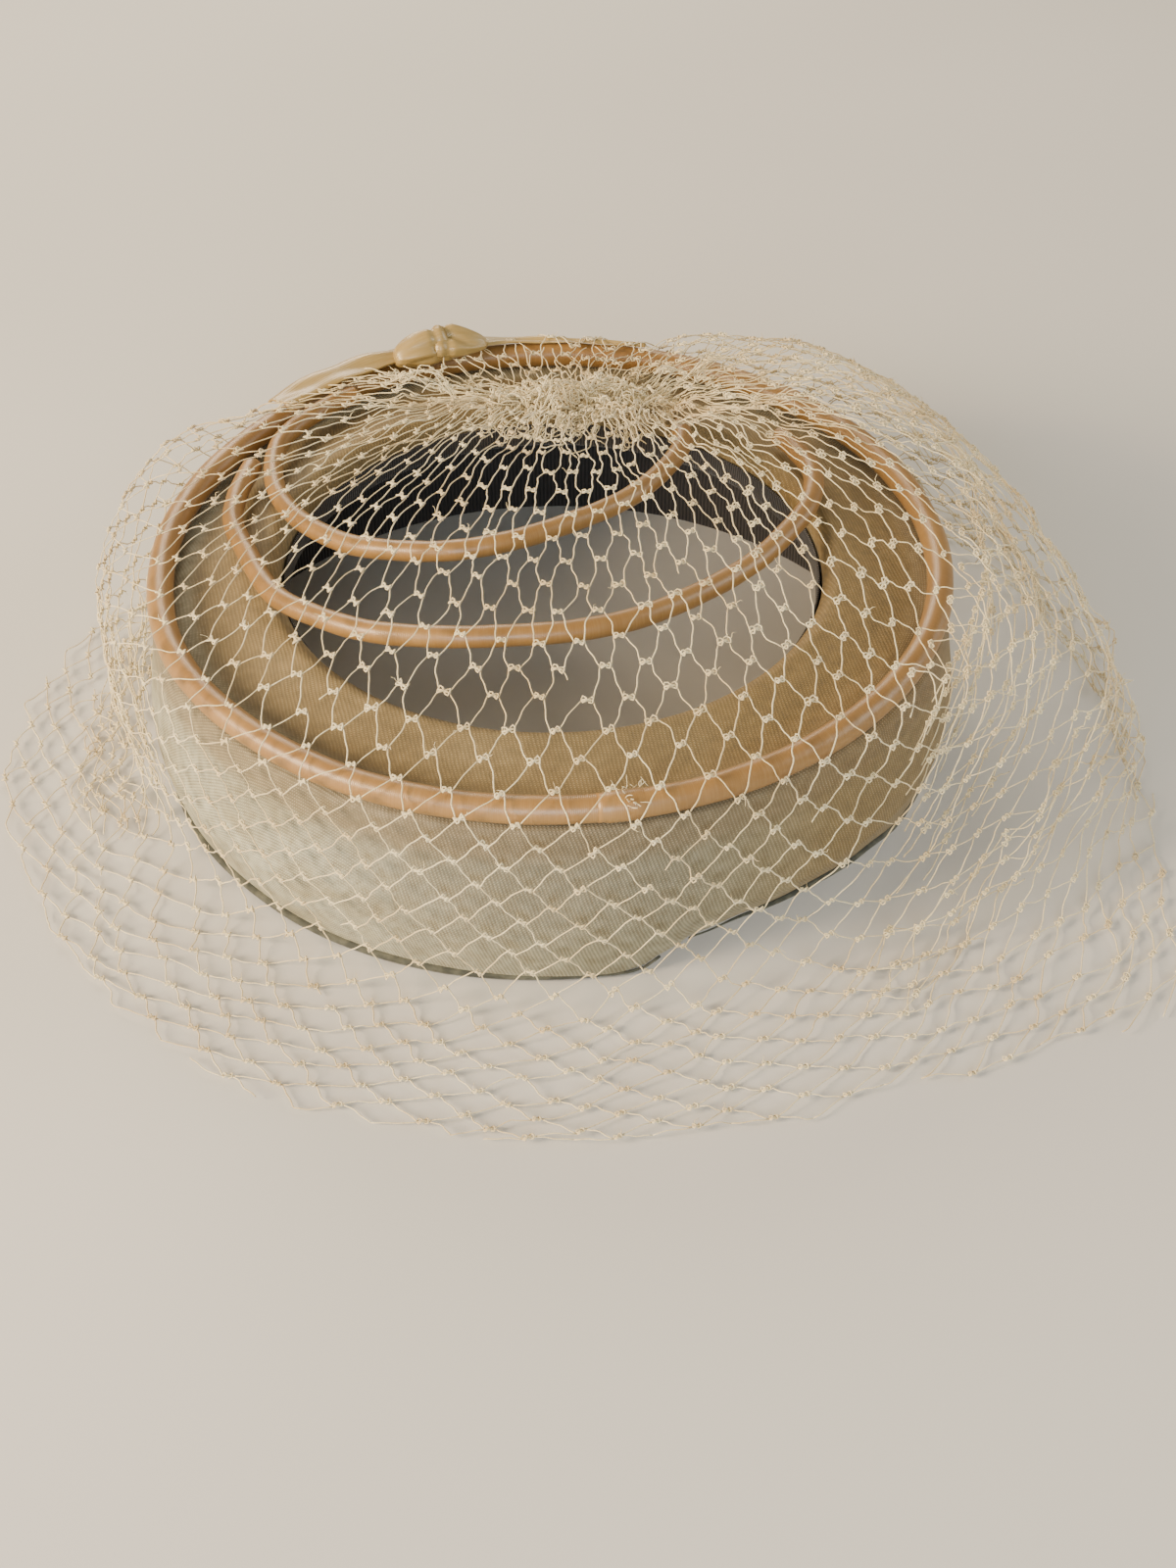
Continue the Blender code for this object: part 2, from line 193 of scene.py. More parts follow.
def covering_cloth():
    tree = new_tree("covering cloth")
    round_it, up_it = uv_lengths(tree)
    where = tree.node("TexCoord", {}, {}, output=3)
    spot = tree.node("SeparateXYZ", {}, {0: where})
    side = spot / MM
    depth = spot.out(1) / MM
    wander = noise(tree, where, 90.0, 2.0) - 0.5
    loose = noise(tree, where, 420.0, 2.0) - 0.5
    degrees = round_it * (180.0 / math.pi / WALL_TURN)
    swing = degrees - 215.0
    slant = (0.63 * swing - 0.0172 * swing * swing) * (math.pi / 180.0 * WALL_TURN)
    slanted = ((up_it - slant) * (TAU / CORD) + wander * 3.0 + loose).sine()
    crossing = (round_it * (TAU / THREAD) + wander * 3.0).sine()
    upright = (round_it * (TAU / CORD) + up_it * 2.2 + wander * 5.0 + loose).sine()
    level = (up_it * (TAU / THREAD) + wander * 2.0).sine()
    lengthwise = (side * (TAU / CORD) + depth * 1.6 + wander * 9.0 + loose).sine()
    sideways = (depth * (TAU / THREAD) + wander * 2.0).sine()
    left = degrees.between(165.0, 175.0) * (1 - (degrees + wander * 30.0).between(238.0, 252.0))
    top = (up_it + wander * 2.0).between(52.0, 56.0)
    wall_cord = left * slanted + (1 - left) * upright
    wall_thread = left * crossing + (1 - left) * level
    cord = top * lengthwise * 0.65 + (1 - top) * wall_cord
    thread = top * sideways + (1 - top) * wall_thread
    relief = cord * 0.24 + thread * 0.12 + cord * thread * 0.3 + loose * 0.9 + 0.5
    broad = noise(tree, where, 22.0, 3.0)
    # Lighter sage patches low on the left of the wall, shaped by the folds noise: painted sheen where the light from
    # the left falls, together with a greenish tone of the cloth.
    sheen_and_green_tone = degrees.between(150.0, 200.0) * (1 - degrees.between(235.0, 262.0)) * (1 - up_it.between(22.0, 45.0))
    # Darker brown over the front of the wall, growing from the hem up towards the outer roll: painted shade under the
    # roll, together with a browner tone of the cloth.
    brown_tone_and_shade = degrees.between(225.0, 262.0) * (1 - degrees.between(280.0, 305.0)) * up_it.between(2.0, 30.0)
    body = broad.between(0.35, 0.65).mix((0.365, 0.35, 0.245), (0.29, 0.275, 0.18))
    body = (top * 0.9).mix(body, broad.between(0.35, 0.65).mix((0.25, 0.172, 0.064), (0.195, 0.127, 0.041)))
    folds = noise(tree, tree.node("CombineXYZ", {}, {0: round_it * 0.03, 1: up_it * 0.09, 2: 3.0}), 1.0, 2.0)
    body = (sheen_and_green_tone * folds.between(0.35, 0.6)).mix(body, (0.46, 0.47, 0.36))
    body = (brown_tone_and_shade * (1 - top) * 0.7).mix(body, (0.18, 0.164, 0.115))
    # Darker and warmer from the front right round to the back right: painted shade on the side away from the left
    # window, together with a warmer tone of the cloth.
    right = degrees.between(284.0, 312.0) + 1 - degrees.between(20.0, 60.0)
    body = (right * 0.85).mix(body, (0.225, 0.142, 0.04))
    # Painted shade in the hollow round the outer roll: darker on the wall under it and on the top beside it.
    painted_roll_shade = up_it.between(34.0, 40.0) * (1 - up_it.between(44.0, 58.0))
    body = (painted_roll_shade * 0.55).mix(body, (0.17, 0.11, 0.05))
    # The weave's low parts are painted darker as their shade and its raised cords paler as a painted highlight; the
    # loose noise in the relief also gives the threads an uneven tone.
    colour = relief.between(-0.25, 0.8).mix((0.13, 0.10, 0.055), body)
    colour = ((relief - 0.7) * 0.6).mix(colour, (0.75, 0.66, 0.46))
    rough = 0.62 + 0.2 * broad
    wrinkles = bump(tree, folds + broad, 0.003, 0.6)
    weave = bump(tree, relief, 0.00016, 0.8, Normal=wrinkles)
    links = {"Base Color": colour, "Roughness": rough, "Normal": weave}
    return coat(tree, links, Sheen_Weight=0.1, Sheen_Roughness=0.4, Sheen_Tint=(1.0, 0.93, 0.75, 1.0))


cloth_finish = covering_cloth()

# %% [markdown]
# ## Satin
#
# Satin shows long floating threads on its face, so light runs along it in streaks. Its colour has
# light painted in as well: a pale painted sheen along the streaks, and painted shade, a darker copper,
# in the low parts of the relief; its own tone also varies softly at random. Fine lines lie across
# each roll, where the bias-cut satin was pulled tight round its core. The same recipe in other
# colours gives the pale satin of the bow.


# %% Satin
def satin(name, dark_tone_and_shade, main, painted_sheen, line_length, rough):
    tree = new_tree(name)
    along, across = uv_lengths(tree)
    where = tree.node("TexCoord", {}, {}, output=3)
    wander = noise(tree, where, 160.0, 3.0) - 0.5
    fine = noise(tree, where, 1400.0, 2.0)
    stretch = tree.node("CombineXYZ", {}, {0: along * 2.6, 1: across * 0.16})
    streaks = noise(tree, stretch, 1.0, 3.0)
    lines = (along * (TAU / line_length) + wander * 5.0).sine() * 0.5 + 0.5
    relief = lines * 0.45 + streaks * 0.4 + fine * 0.25
    broad = noise(tree, where, 34.0, 3.0)
    body = (broad.between(0.3, 0.7) * 0.45 + 0.55).mix(dark_tone_and_shade, main)
    # Painted sheen: the streaks are painted paler. Painted shade: the low parts of the relief are painted darker.
    colour = (streaks.between(0.35, 0.75) * 0.16).mix(body, painted_sheen)
    colour = ((1 - relief.between(0.1, 0.45)) * 0.3).mix(colour, dark_tone_and_shade)
    links = {"Base Color": colour, "Roughness": rough + 0.12 * streaks, "Normal": bump(tree, relief, 0.00006, 0.6)}
    sheen = {"Sheen_Weight": 0.08, "Sheen_Roughness": 0.3, "Sheen_Tint": (1.0, 0.82, 0.6, 1.0)}
    return coat(tree, links, Specular_IOR_Level=0.75, **sheen)


copper_finish = satin("copper satin", (0.19, 0.088, 0.021), (0.32, 0.175, 0.053), (0.47, 0.305, 0.13), 0.42, 0.33)
pale_finish = satin("pale gold satin", (0.18, 0.11, 0.025), (0.42, 0.29, 0.10), (0.62, 0.50, 0.25), 0.5, 0.3)

# %% [markdown]
# ## Ribbon and thread
#
# The band inside the hem is a dark ribbon with fine cross ribs. The net is a matt two-ply thread of
# cream cotton, a little darker where it has been handled.


# %% Ribbon and thread
def ribbed_ribbon():
    tree = new_tree("dark ribbon")
    along, across = uv_lengths(tree)
    where = tree.node("TexCoord", {}, {}, output=3)
    wander = noise(tree, where, 200.0, 2.0)
    ribs = (along * (TAU / 1.1) + wander).sine() * 0.5 + 0.5
    # The ribs are painted lighter on their tops and darker between them: painted highlight and shade of the ribs.
    colour = ribs.mix((0.008, 0.007, 0.007), (0.035, 0.03, 0.028))
    links = {"Base Color": colour, "Roughness": 0.6 + wander * 0.2, "Normal": bump(tree, ribs, 0.0002)}
    return coat(tree, links, Sheen_Weight=0.2)


def net_thread():
    tree = new_tree("cream thread")
    where = tree.node("TexCoord", {}, {}, output=3)
    patches = noise(tree, where, 60.0, 3.0)
    fibres = noise(tree, where, 2600.0, 2.0)
    colour = patches.between(0.35, 0.7).mix((0.80, 0.70, 0.44), (0.66, 0.52, 0.28))
    # Where the fine fibre relief is low the thread is painted darker, as shade between the fibres, together with an
    # uneven tone of the cotton.
    colour = ((1 - fibres.between(0.3, 0.55)) * 0.4).mix(colour, (0.42, 0.29, 0.14))
    links = {"Base Color": colour, "Roughness": 0.6 + 0.2 * fibres, "Normal": bump(tree, fibres, 0.0001, 0.6)}
    return coat(tree, links, Sheen_Weight=0.4, Specular_IOR_Level=0.4)


# Dark cord along the hem: partly the dark edge of the ribbon inside, partly painted contact shadow under the hem.
def hem_edge_and_shadow():
    tree = new_tree("hem edge and shadow")
    where = tree.node("TexCoord", {}, {}, output=3)
    patches = noise(tree, where, 300.0, 3.0)
    colour = patches.between(0.35, 0.7).mix((0.035, 0.038, 0.028), (0.10, 0.10, 0.07))
    links = {"Base Color": colour, "Roughness": 0.7 + 0.2 * patches, "Normal": bump(tree, patches, 0.0003)}
    return coat(tree, links, Sheen_Weight=0.15)


ribbon_finish = ribbed_ribbon()
thread_finish = net_thread()
edge_and_shadow_finish = hem_edge_and_shadow()

# %% [markdown]
# ## Helpers for the forms
#
# The soft hat is not a true circle and its hem rises and falls, so its outline is kept as short
# tables of sections by angle. Lengths are in millimetres, angles in degrees from the right of the
# hat towards its back, so 270 is the front. A piece is brought to metres once, when it is finished.

# %% Sections by angle
HEM = {
    "angle": (0, 20, 45, 90, 135, 160, 180, 215, 240, 265, 277, 281, 285, 289, 296, 306, 318, 330, 345),
    "height": (3.5, 2.0, 1.0, 0.6, 1.0, 2.0, 2.5, 2.5, 1.5, 0.4, 0.5, 2.2, 5.8, 9.4, 11.0, 11.0, 9.6, 6.5, 4.5),
}
OUT_OF_ROUND = {
    "angle": (20, 90, 150, 180, 205, 230, 270, 310, 340),
    "grow": (0.2, 0.0, 0.3, 1.0, 2.0, 1.2, 0.3, 0.3, 0.8),
}
LIP_RADIUS = 65.0
ROLL_RADIUS = 92.0
ROLL_Z = 48.8
HEM_BLEND_Z = 17.0


def around(table, column, degrees):
    """Read a table of sections at any angle, smoothly and the whole way round."""
    angles = table["angle"]
    values = table[column]
    count = len(angles)
    degrees = degrees % 360.0
    last = max((i for i in range(count) if angles[i] <= degrees), default=count - 1)
    start = angles[last] if angles[last] <= degrees else angles[last] - 360.0
    following = (last + 1) % count
    part = (degrees - start) / ((angles[following] - start) % 360.0)
    eased = part * part * (3 - 2 * part)
    return values[last] + (values[following] - values[last]) * eased


def place(radius, degrees, height):
    turn = math.radians(degrees)
    return Vector((radius * math.cos(turn), radius * math.sin(turn), height))


def polar(point):
    return math.hypot(point.x, point.y), math.degrees(math.atan2(point.y, point.x)) % 360.0


def out_of_round(radius, degrees):
    share = (radius - LIP_RADIUS) / (ROLL_RADIUS - LIP_RADIUS)
    return around(OUT_OF_ROUND, "grow", degrees) * min(max(share, 0.0), 1.0)


def smooth(points, pieces):
    """Points along the smooth curve that passes through every given point."""
    last = len(points) - 1
    path = []
    for i in range(last):
        before, start = Vector(points[max(i - 1, 0)]), Vector(points[i])
        end, after = Vector(points[i + 1]), Vector(points[min(i + 2, last)])
        bend = 2 * before - 5 * start + 4 * end - after
        twist = 3 * (start - end) + after - before
        for k in range(pieces):
            t = k / pieces
            path.append(start + 0.5 * t * (end - before + t * (bend + t * twist)))
    path.append(Vector(points[last]))
    return path


print("hem height at the front", around(HEM, "height", 270.0), "and on the right", around(HEM, "height", 320.0))

# %% [markdown]
# ## Turning a profile
#
# Both rings start as a line of edges spun round the axis. Before the spin each point of the line is
# given its distance along it, and the spin copies that value with the point. The UV map is then laid
# in millimetres from that distance and the angle, so that a weave keeps its size.


# %% Finish a piece
def lay_uv(bm, length_of, across_of):
    """Write a UV map from two functions of a vertex; the first may jump once a turn, by its period."""
    uv = bm.loops.layers.uv.new("UVMap")
    measure, period = length_of
    for face in bm.faces:
        lengths = [measure(loop.vert) for loop in face.loops]
        far = max(lengths)
        for loop, length in zip(face.loops, lengths):
            if period and far - length > period / 2:
                length += period
            loop[uv].uv = (length, across_of(loop.vert))


def finish_piece(name, bm, material, stands_for=()):
    bmesh.ops.scale(bm, vec=(MM, MM, MM), verts=bm.verts)
    mesh = bpy.data.meshes.new(name)
    bm.to_mesh(mesh)
    bm.free()
    mesh.materials.append(material)
    mesh.shade_smooth()
    piece = bpy.data.objects.new(name, mesh)
    bpy.context.scene.collection.objects.link(piece)
    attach(piece, "root")
    if stands_for:
        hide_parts(*stands_for)
    print(name, len(mesh.polygons), "faces")
    return piece


def wall(piece, thickness):
    solid = piece.modifiers.new("wall", "SOLIDIFY")
    solid.thickness = thickness * MM
    solid.offset = -1.0
    edge = piece.modifiers.new("turned edge", "BEVEL")
    edge.width = 0.3 * thickness * MM
    edge.segments = 2
    edge.limit_method = "ANGLE"
    edge.angle_limit = math.radians(60.0)


def turned_wall(profile, lowest_at, steps=240):
    """A profile of (radius, height) pairs, spun round and settled on the hem."""
    bm = bmesh.new()
    measured = bm.verts.layers.float.new("measured")
    points = []
    travelled = 0.0
    for radius, height in profile:
        point = bm.verts.new((radius, 0.0, height))
        if points:
            bm.edges.new((points[-1], point))
            travelled += (point.co - points[-1].co).length
        point[measured] = travelled
        points.append(point)
    spun = {"axis": (0, 0, 1), "cent": (0, 0, 0), "angle": TAU, "steps": steps, "use_merge": True}
    bmesh.ops.spin(bm, geom=bm.verts[:] + bm.edges[:], dvec=(0, 0, 0), **spun)
    bmesh.ops.remove_doubles(bm, verts=bm.verts, dist=0.01)
    lowest = profile[-1][1]
    for point in bm.verts:
        radius, degrees = polar(point.co)
        height = point.co.z
        if height < HEM_BLEND_Z:
            share = (HEM_BLEND_Z - height) / (HEM_BLEND_Z - lowest)
            height = HEM_BLEND_Z + (lowest_at(degrees) - HEM_BLEND_Z) * share
        point.co = place(radius + out_of_round(radius, degrees), degrees, height)
    bmesh.ops.recalc_face_normals(bm, faces=bm.faces)
    return bm, measured, travelled


# %% [markdown]
# ## The covered ring
#
# On the real hat one piece of cloth is stretched over a stiff shape, from inside the hem, up the
# bellied wall, over the seat of the outer roll and down inside the lip. It could be draped by a
# simulation, but it is stretched tight, so a spun profile with a wall of its true thickness says the
# same with even faces.

# %% Covered ring
CLOTH_WALL = 2.0
BELLY_RADIUS = 97.5
HEM_RADIUS = 94.6
BODY_PROFILE = (
    (LIP_RADIUS + 0.4, 39.0),
    (LIP_RADIUS + 0.2, 46.2),
    (LIP_RADIUS + 3.0, 49.4),
    (LIP_RADIUS + 7.0, 48.7),
    (LIP_RADIUS + 15.0, 46.4),
    (ROLL_RADIUS - 3.8, 45.5),
    (ROLL_RADIUS + 0.6, 45.2),
    (ROLL_RADIUS + 2.4, 44.1),
    (ROLL_RADIUS + 2.7, 40.8),
    (BELLY_RADIUS - 1.6, 31.0),
    (BELLY_RADIUS, 19.0),
    (BELLY_RADIUS - 0.7, 10.0),
    (HEM_RADIUS, 0.0),
)


def hem_height(degrees):
    return around(HEM, "height", degrees)


def make_hat_cloth():
    outline = [(p.x, p.y) for p in smooth([(*p, 0.0) for p in BODY_PROFILE], 5)]
    bm, measured, full = turned_wall(outline, hem_height)
    turn = (lambda vert: math.radians(polar(vert.co)[1]) * WALL_TURN, TAU * WALL_TURN)
    lay_uv(bm, turn, lambda vert: full - vert[measured])
    piece = finish_piece("hat_cloth", bm, cloth_finish, ["hat_body"])
    wall(piece, CLOTH_WALL)
    return piece


hat_cloth = make_hat_cloth()

# %% [markdown]
# ## The ribbon inside
#
# A dark ribbon is sewn inside the hem to take the wearer's head. It shows through the crown opening
# at the back and as a thin dark line under the hem.

# %% Ribbon
RIBBON_HEIGHT = 24.0
RIBBON_SHOWS = 2.6


def make_ribbon():
    inset = CLOTH_WALL + 0.35
    profile = (
        (BELLY_RADIUS - inset - 0.6, RIBBON_HEIGHT),
        (HEM_RADIUS - inset, RIBBON_HEIGHT / 2),
        (HEM_RADIUS - inset, 0.0),
    )
    bm, measured, full = turned_wall(
        [(p.x, p.y) for p in smooth([(*p, 0.0) for p in profile], 6)],
        lambda degrees: max(hem_height(degrees) - RIBBON_SHOWS, 0.0),
    )
    turn = (lambda vert: math.radians(polar(vert.co)[1]) * WALL_TURN, TAU * WALL_TURN)
    lay_uv(bm, turn, lambda vert: full - vert[measured])
    piece = finish_piece("inner_ribbon", bm, ribbon_finish, ["head_ribbon"])
    wall(piece, 1.2)


make_ribbon()


def make_lining():
    """Dark lining from the edge of the crown opening, out under the top and down to the ribbon."""
    profile = (
        (LIP_RADIUS - 0.5, 44.4),
        (LIP_RADIUS - 0.5, 38.6),
        (LIP_RADIUS + 3.4, 38.3),
        (LIP_RADIUS + 12.0, 40.6),
        (ROLL_RADIUS - 4.0, 39.4),
        (BELLY_RADIUS - 5.2, 31.0),
        (BELLY_RADIUS - 4.2, RIBBON_HEIGHT - 2.0),
    )
    bm, measured, full = turned_wall([(p.x, p.y) for p in smooth([(*p, 0.0) for p in profile], 4)], hem_height)
    turn = (lambda vert: math.radians(polar(vert.co)[1]) * WALL_TURN, TAU * WALL_TURN)
    lay_uv(bm, turn, lambda vert: full - vert[measured])
    piece = finish_piece("dark_lining", bm, ribbon_finish)
    wall(piece, 0.5)


make_lining()

# %% [markdown]
# ## Satin rolls
#
# A roll is a tube of bias-cut satin drawn over a soft core. Each one is a circle carried along its
# route by extrusion, with the route's length kept on its points for the satin's fine lines. The
# circle swells and shrinks a little, as hand-covered cord does.

# %% Satin rolls
ROLL_SIDES = 20
MIDDLE_ROLL_PATH = (
    (-74.8, 36.5, 50.6),
    (-77.2, 24.0, 50.9),
    (-77.3, 12.0, 50.9),
    (-73.5, 0.3, 51.3),
    (-64.8, -21.1, 53.6),
    (-52.8, -34.0, 56.2),
    (-39.7, -42.8, 58.5),
    (-23.4, -46.8, 60.0),
    (-9.2, -46.9, 60.3),
    (4.9, -45.0, 60.0),
    (19.3, -39.2, 59.0),
    (34.3, -27.1, 57.0),
    (47.0, -13.6, 55.2),
    (56.1, 0.6, 53.7),
    (62.9, 14.3, 52.7),
    (65.0, 28.0, 52.4),
    (61.8, 38.5, 52.2),
    (58.0, 45.5, 52.2),
)
INNER_ROLL_PATH = (
    (-50.5, 68.3, 51.2),
    (-56.6, 64.6, 51.0),
    (-65.6, 53.6, 50.8),
    (-69.4, 42.0, 50.9),
    (-67.9, 24.9, 51.8),
    (-61.2, 8.4, 54.2),
    (-49.7, -6.9, 58.0),
    (-39.2, -14.6, 61.0),
    (-24.2, -19.0, 63.5),
    (-9.6, -16.0, 64.0),
    (5.2, -7.0, 63.0),
    (18.5, 5.6, 61.0),
    (28.3, 22.9, 58.0),
    (33.0, 37.0, 55.8),
    (32.6, 47.0, 54.4),
)


def frames(path, closed):
    """At each point of a path, the way it runs and two directions across it, carried along evenly."""
    count = len(path)
    result = []
    side = Vector((0.0, 0.0, 1.0))
    for i in range(count):
        before = path[(i - 1) % count] if closed else path[max(i - 1, 0)]
        after = path[(i + 1) % count] if closed else path[min(i + 1, count - 1)]
        forward = (after - before).normalized()
        side = (side - forward * side.dot(forward)).normalized()
        result.append((forward, side, forward.cross(side)))
    return result


def swept(path, radius_at, sides, closed=False):
    """A circle extruded along a path, with its length and turn kept on each point."""
    bm = bmesh.new()
    measured = bm.verts.layers.float.new("measured")
    turned = bm.verts.layers.float.new("turned")
    ways = frames(path, closed)
    made = bmesh.ops.create_circle(bm, cap_ends=False, radius=1.0, segments=sides)
    ring = made["verts"]
    for point in ring:
        point[turned] = (math.atan2(point.co.y, point.co.x) / TAU) % 1.0
    ring_edges = bm.edges[:]
    first_edges = ring_edges
    old = Matrix.Identity(4)
    travelled = 0.0
    first_ring = ring
    for i, (forward, side, other) in enumerate(ways):
        radius = radius_at(i / (len(path) - 1))
        new = Matrix.Translation(path[i]) @ Matrix((side, other, forward)).transposed().to_4x4()
        new = new @ Matrix.Diagonal((radius, radius, radius, 1.0))
        if i:
            travelled += (path[i] - path[i - 1]).length
            grown = bmesh.ops.extrude_edge_only(bm, edges=ring_edges)["geom"]
            ring = [g for g in grown if isinstance(g, bmesh.types.BMVert)]
            ring_edges = [g for g in grown if isinstance(g, bmesh.types.BMEdge)]
            ring_edges = [e for e in ring_edges if all(v in ring for v in e.verts)]
        bmesh.ops.transform(bm, matrix=new @ old.inverted(), verts=ring)
        for point in ring:
            point[measured] = travelled
        old = new
    period = 0.0
    if closed:
        period = travelled + (path[0] - path[-1]).length
        bmesh.ops.bridge_loops(bm, edges=ring_edges + first_edges)
    else:
        for loop_edges in (first_edges, ring_edges):
            bmesh.ops.contextual_create(bm, geom=loop_edges)
    bmesh.ops.recalc_face_normals(bm, faces=bm.faces)
    uv = bm.loops.layers.uv.new("UVMap")
    girth = TAU * radius_at(0.5)
    for face in bm.faces:
        lengths = [loop.vert[measured] for loop in face.loops]
        turns = [loop.vert[turned] for loop in face.loops]
        for loop, length, turn in zip(face.loops, lengths, turns):
            length += period * (period and max(lengths) - length > period / 2)
            turn += max(turns) - turn > 0.5
            loop[uv].uv = (length, turn * girth)
    return bm


def lumpy(diameter, seed):
    """Radius along a roll: nearly even, with the soft swell of hand-covered cord."""
    phase = random.Random(seed).uniform(0.0, TAU)
    return lambda part: diameter / 2 * (0.985 + 0.015 * math.sin(23 * TAU * part + phase))


def make_roll(name, path, diameter, node, closed=False):
    bm = swept(path, lumpy(diameter, name), ROLL_SIDES, closed)
    piece = finish_piece(name, bm, copper_finish, [node])
    return piece


ring_path = []
for step in range(288):
    degrees = 360.0 * step / 288
    ring_path.append(place(ROLL_RADIUS + out_of_round(ROLL_RADIUS, degrees), degrees, ROLL_Z))
outer_roll = make_roll("outer_satin_roll", ring_path, 6.4, "outer_roll", closed=True)
make_roll("middle_satin_roll", smooth(MIDDLE_ROLL_PATH, 8), 5.2, "middle_roll")
make_roll("inner_satin_roll", smooth(INNER_ROLL_PATH, 8), 5.0, "inner_roll")

# %% [markdown]
# ## The dark line under the hem and the roll's seam
#
# Under the left, the front and the right of the hem a dark edge shows as a thin line. It is partly
# the dark edge of the ribbon inside and partly painted contact shadow: a dark cord laid where the
# hem's shadow falls. At the front, a little to the right, one end of the outer roll's satin is turned
# over the other. Both are short lengths of the same extruded circle, thinner towards their ends.

# %% Dark hem line and seam
HEM_EDGE_AND_SHADOW = {"hem_edge_and_shadow": (186, 284, 1.1), "hem_edge_and_shadow_right": (288, 342, 0.75)}
SEAM_ANGLES = (275.5, 282.5)
SEAM_RADIUS = 3.42


def tapered(radius, ends, least):
    """Radius along a short length that runs out at both ends."""
    return lambda part: radius * max(min(part, 1 - part) / ends, least) if min(part, 1 - part) < ends else radius


def arc(first, last, steps, radius, height_at):
    line = []
    for i in range(steps + 1):
        degrees = first + (last - first) * i / steps
        line.append(place(radius + out_of_round(radius, degrees), degrees, height_at(degrees)))
    return line


# Each dark cord along the hem stands partly for the ribbon's dark edge and partly for painted contact shadow on the
# table.
for name, (first, last, radius) in HEM_EDGE_AND_SHADOW.items():
    line = arc(first, last, 90, HEM_RADIUS + 0.1, lambda degrees: max(hem_height(degrees) - 0.7, radius))
    finish_piece(name, swept(line, tapered(radius, 0.3, 0.3), 8), edge_and_shadow_finish)
seam_line = arc(*SEAM_ANGLES, 10, ROLL_RADIUS, lambda degrees: ROLL_Z)
seam = swept(seam_line, tapered(SEAM_RADIUS, 0.12, 0.93), ROLL_SIDES)
finish_piece("roll_seam", seam, copper_finish)

# %% [markdown]
# ## The veil's form
#
# The net is one sheet of diamond meshes. It hangs from a tight gather behind the crown opening, is
# drawn over the opening, falls down the wall and lies on the table. Its form is kept as meridians:
# one smooth line for each half column of meshes, from the gather out to the hem.

# %% Meridians
VEIL = {
    "angle": (13, 33, 47, 64, 74, 100, 118, 134, 142, 157, 176, 195, 210, 240, 270, 298, 310, 322, 330, 343, 353),
    "crest": (
        64, 64, 63, 58, 53.2, 53.2, 53.2, 53.2, 54, 61, 57, 55, 54, 53.2, 53.2, 53.2, 53.2, 54, 56, 62, 63
    ),
    "arch": (5, 3, 1, -1, -1, -1, -1, 4, 3, 2, 3, 5, 8, 11, 12, 12, 11, 11, 10, 8, 7),
    "shoulder": (
        116, 115, 115, 106, 96.6, 96.6, 96.6, 97.2, 99, 108, 107, 105, 100, 97.8, 97, 97, 97.5, 103, 112, 126, 120
    ),
    "middle": (
        128, 122, 122, 117, 105, 102, 104, 107, 109, 111, 110, 108, 104, 102, 101.5, 102, 104, 114, 126, 141, 134
    ),
    "foot": (
        134, 130, 126, 123, 118, 112, 113, 114, 114, 113, 110, 107, 107, 107, 107, 108, 116, 135, 143, 146, 140
    ),
    "hem": (
        147, 144, 138, 132, 128, 125, 124, 124, 124, 124, 134, 139, 138, 144, 143, 146, 157, 174, 166, 151, 148
    ),
}
COLUMNS = 52
HALVES = 2 * COLUMNS
DRIFT = 0.04
MESH_SIDE = 9.2
SLACK_SIDE = 7.9
GATHER_CENTRE = Vector((6.0, 50.0, 0.0))
GATHER_TURN = math.radians(-4.0)
MOUTH = (26.0, 9.5)
MOUTH_Z = 57.0
MOUTH_TILT = 5.0
ON_TABLE = 0.6
SAMPLES = 16


def mouth_point(degrees):
    """Where a meridian leaves the gather, on a slanted oval round it."""
    facing = math.radians(degrees) - GATHER_TURN
    oval = Vector((MOUTH[0] * math.cos(facing), MOUTH[1] * math.sin(facing), 0.0))
    oval.rotate(Matrix.Rotation(GATHER_TURN, 3, "Z"))
    oval.z = MOUTH_Z - MOUTH_TILT * math.sin(math.radians(degrees))
    return GATHER_CENTRE + oval


def meridian(degrees):
    """Points of the net's centre line at one angle, and how many of them lie before the roll."""
    grow = around(OUT_OF_ROUND, "grow", degrees)
    crest, shoulder = around(VEIL, "crest", degrees), around(VEIL, "shoulder", degrees) + grow
    top = ROLL_RADIUS + grow
    over = place(top, degrees, crest)
    mouth = mouth_point(degrees)
    lift = around(VEIL, "arch", degrees)
    inner = []
    for i in range(SAMPLES):
        part = i / SAMPLES
        spot = mouth.lerp(over, part)
        spot.z += lift * 4 * part * (1 - part)
        inner.append(spot)
    turn = crest - 53.2
    outer = [
        inner[-2],
        over,
        place(top + 3.2 + 0.42 * (shoulder - top - 4.6), degrees, crest - 1.4 - 0.2 * turn),
        place(shoulder, degrees, ROLL_Z),
        place(around(VEIL, "middle", degrees), degrees, 28.0),
        place(around(VEIL, "foot", degrees), degrees, 1.4),
        place(around(VEIL, "hem", degrees), degrees, 0.9),
    ]
    fall = smooth(outer, SAMPLES // 2)[SAMPLES // 2:]
    for spot in fall:
        spot.z = max(spot.z, ON_TABLE)
    return inner + fall, len(inner)


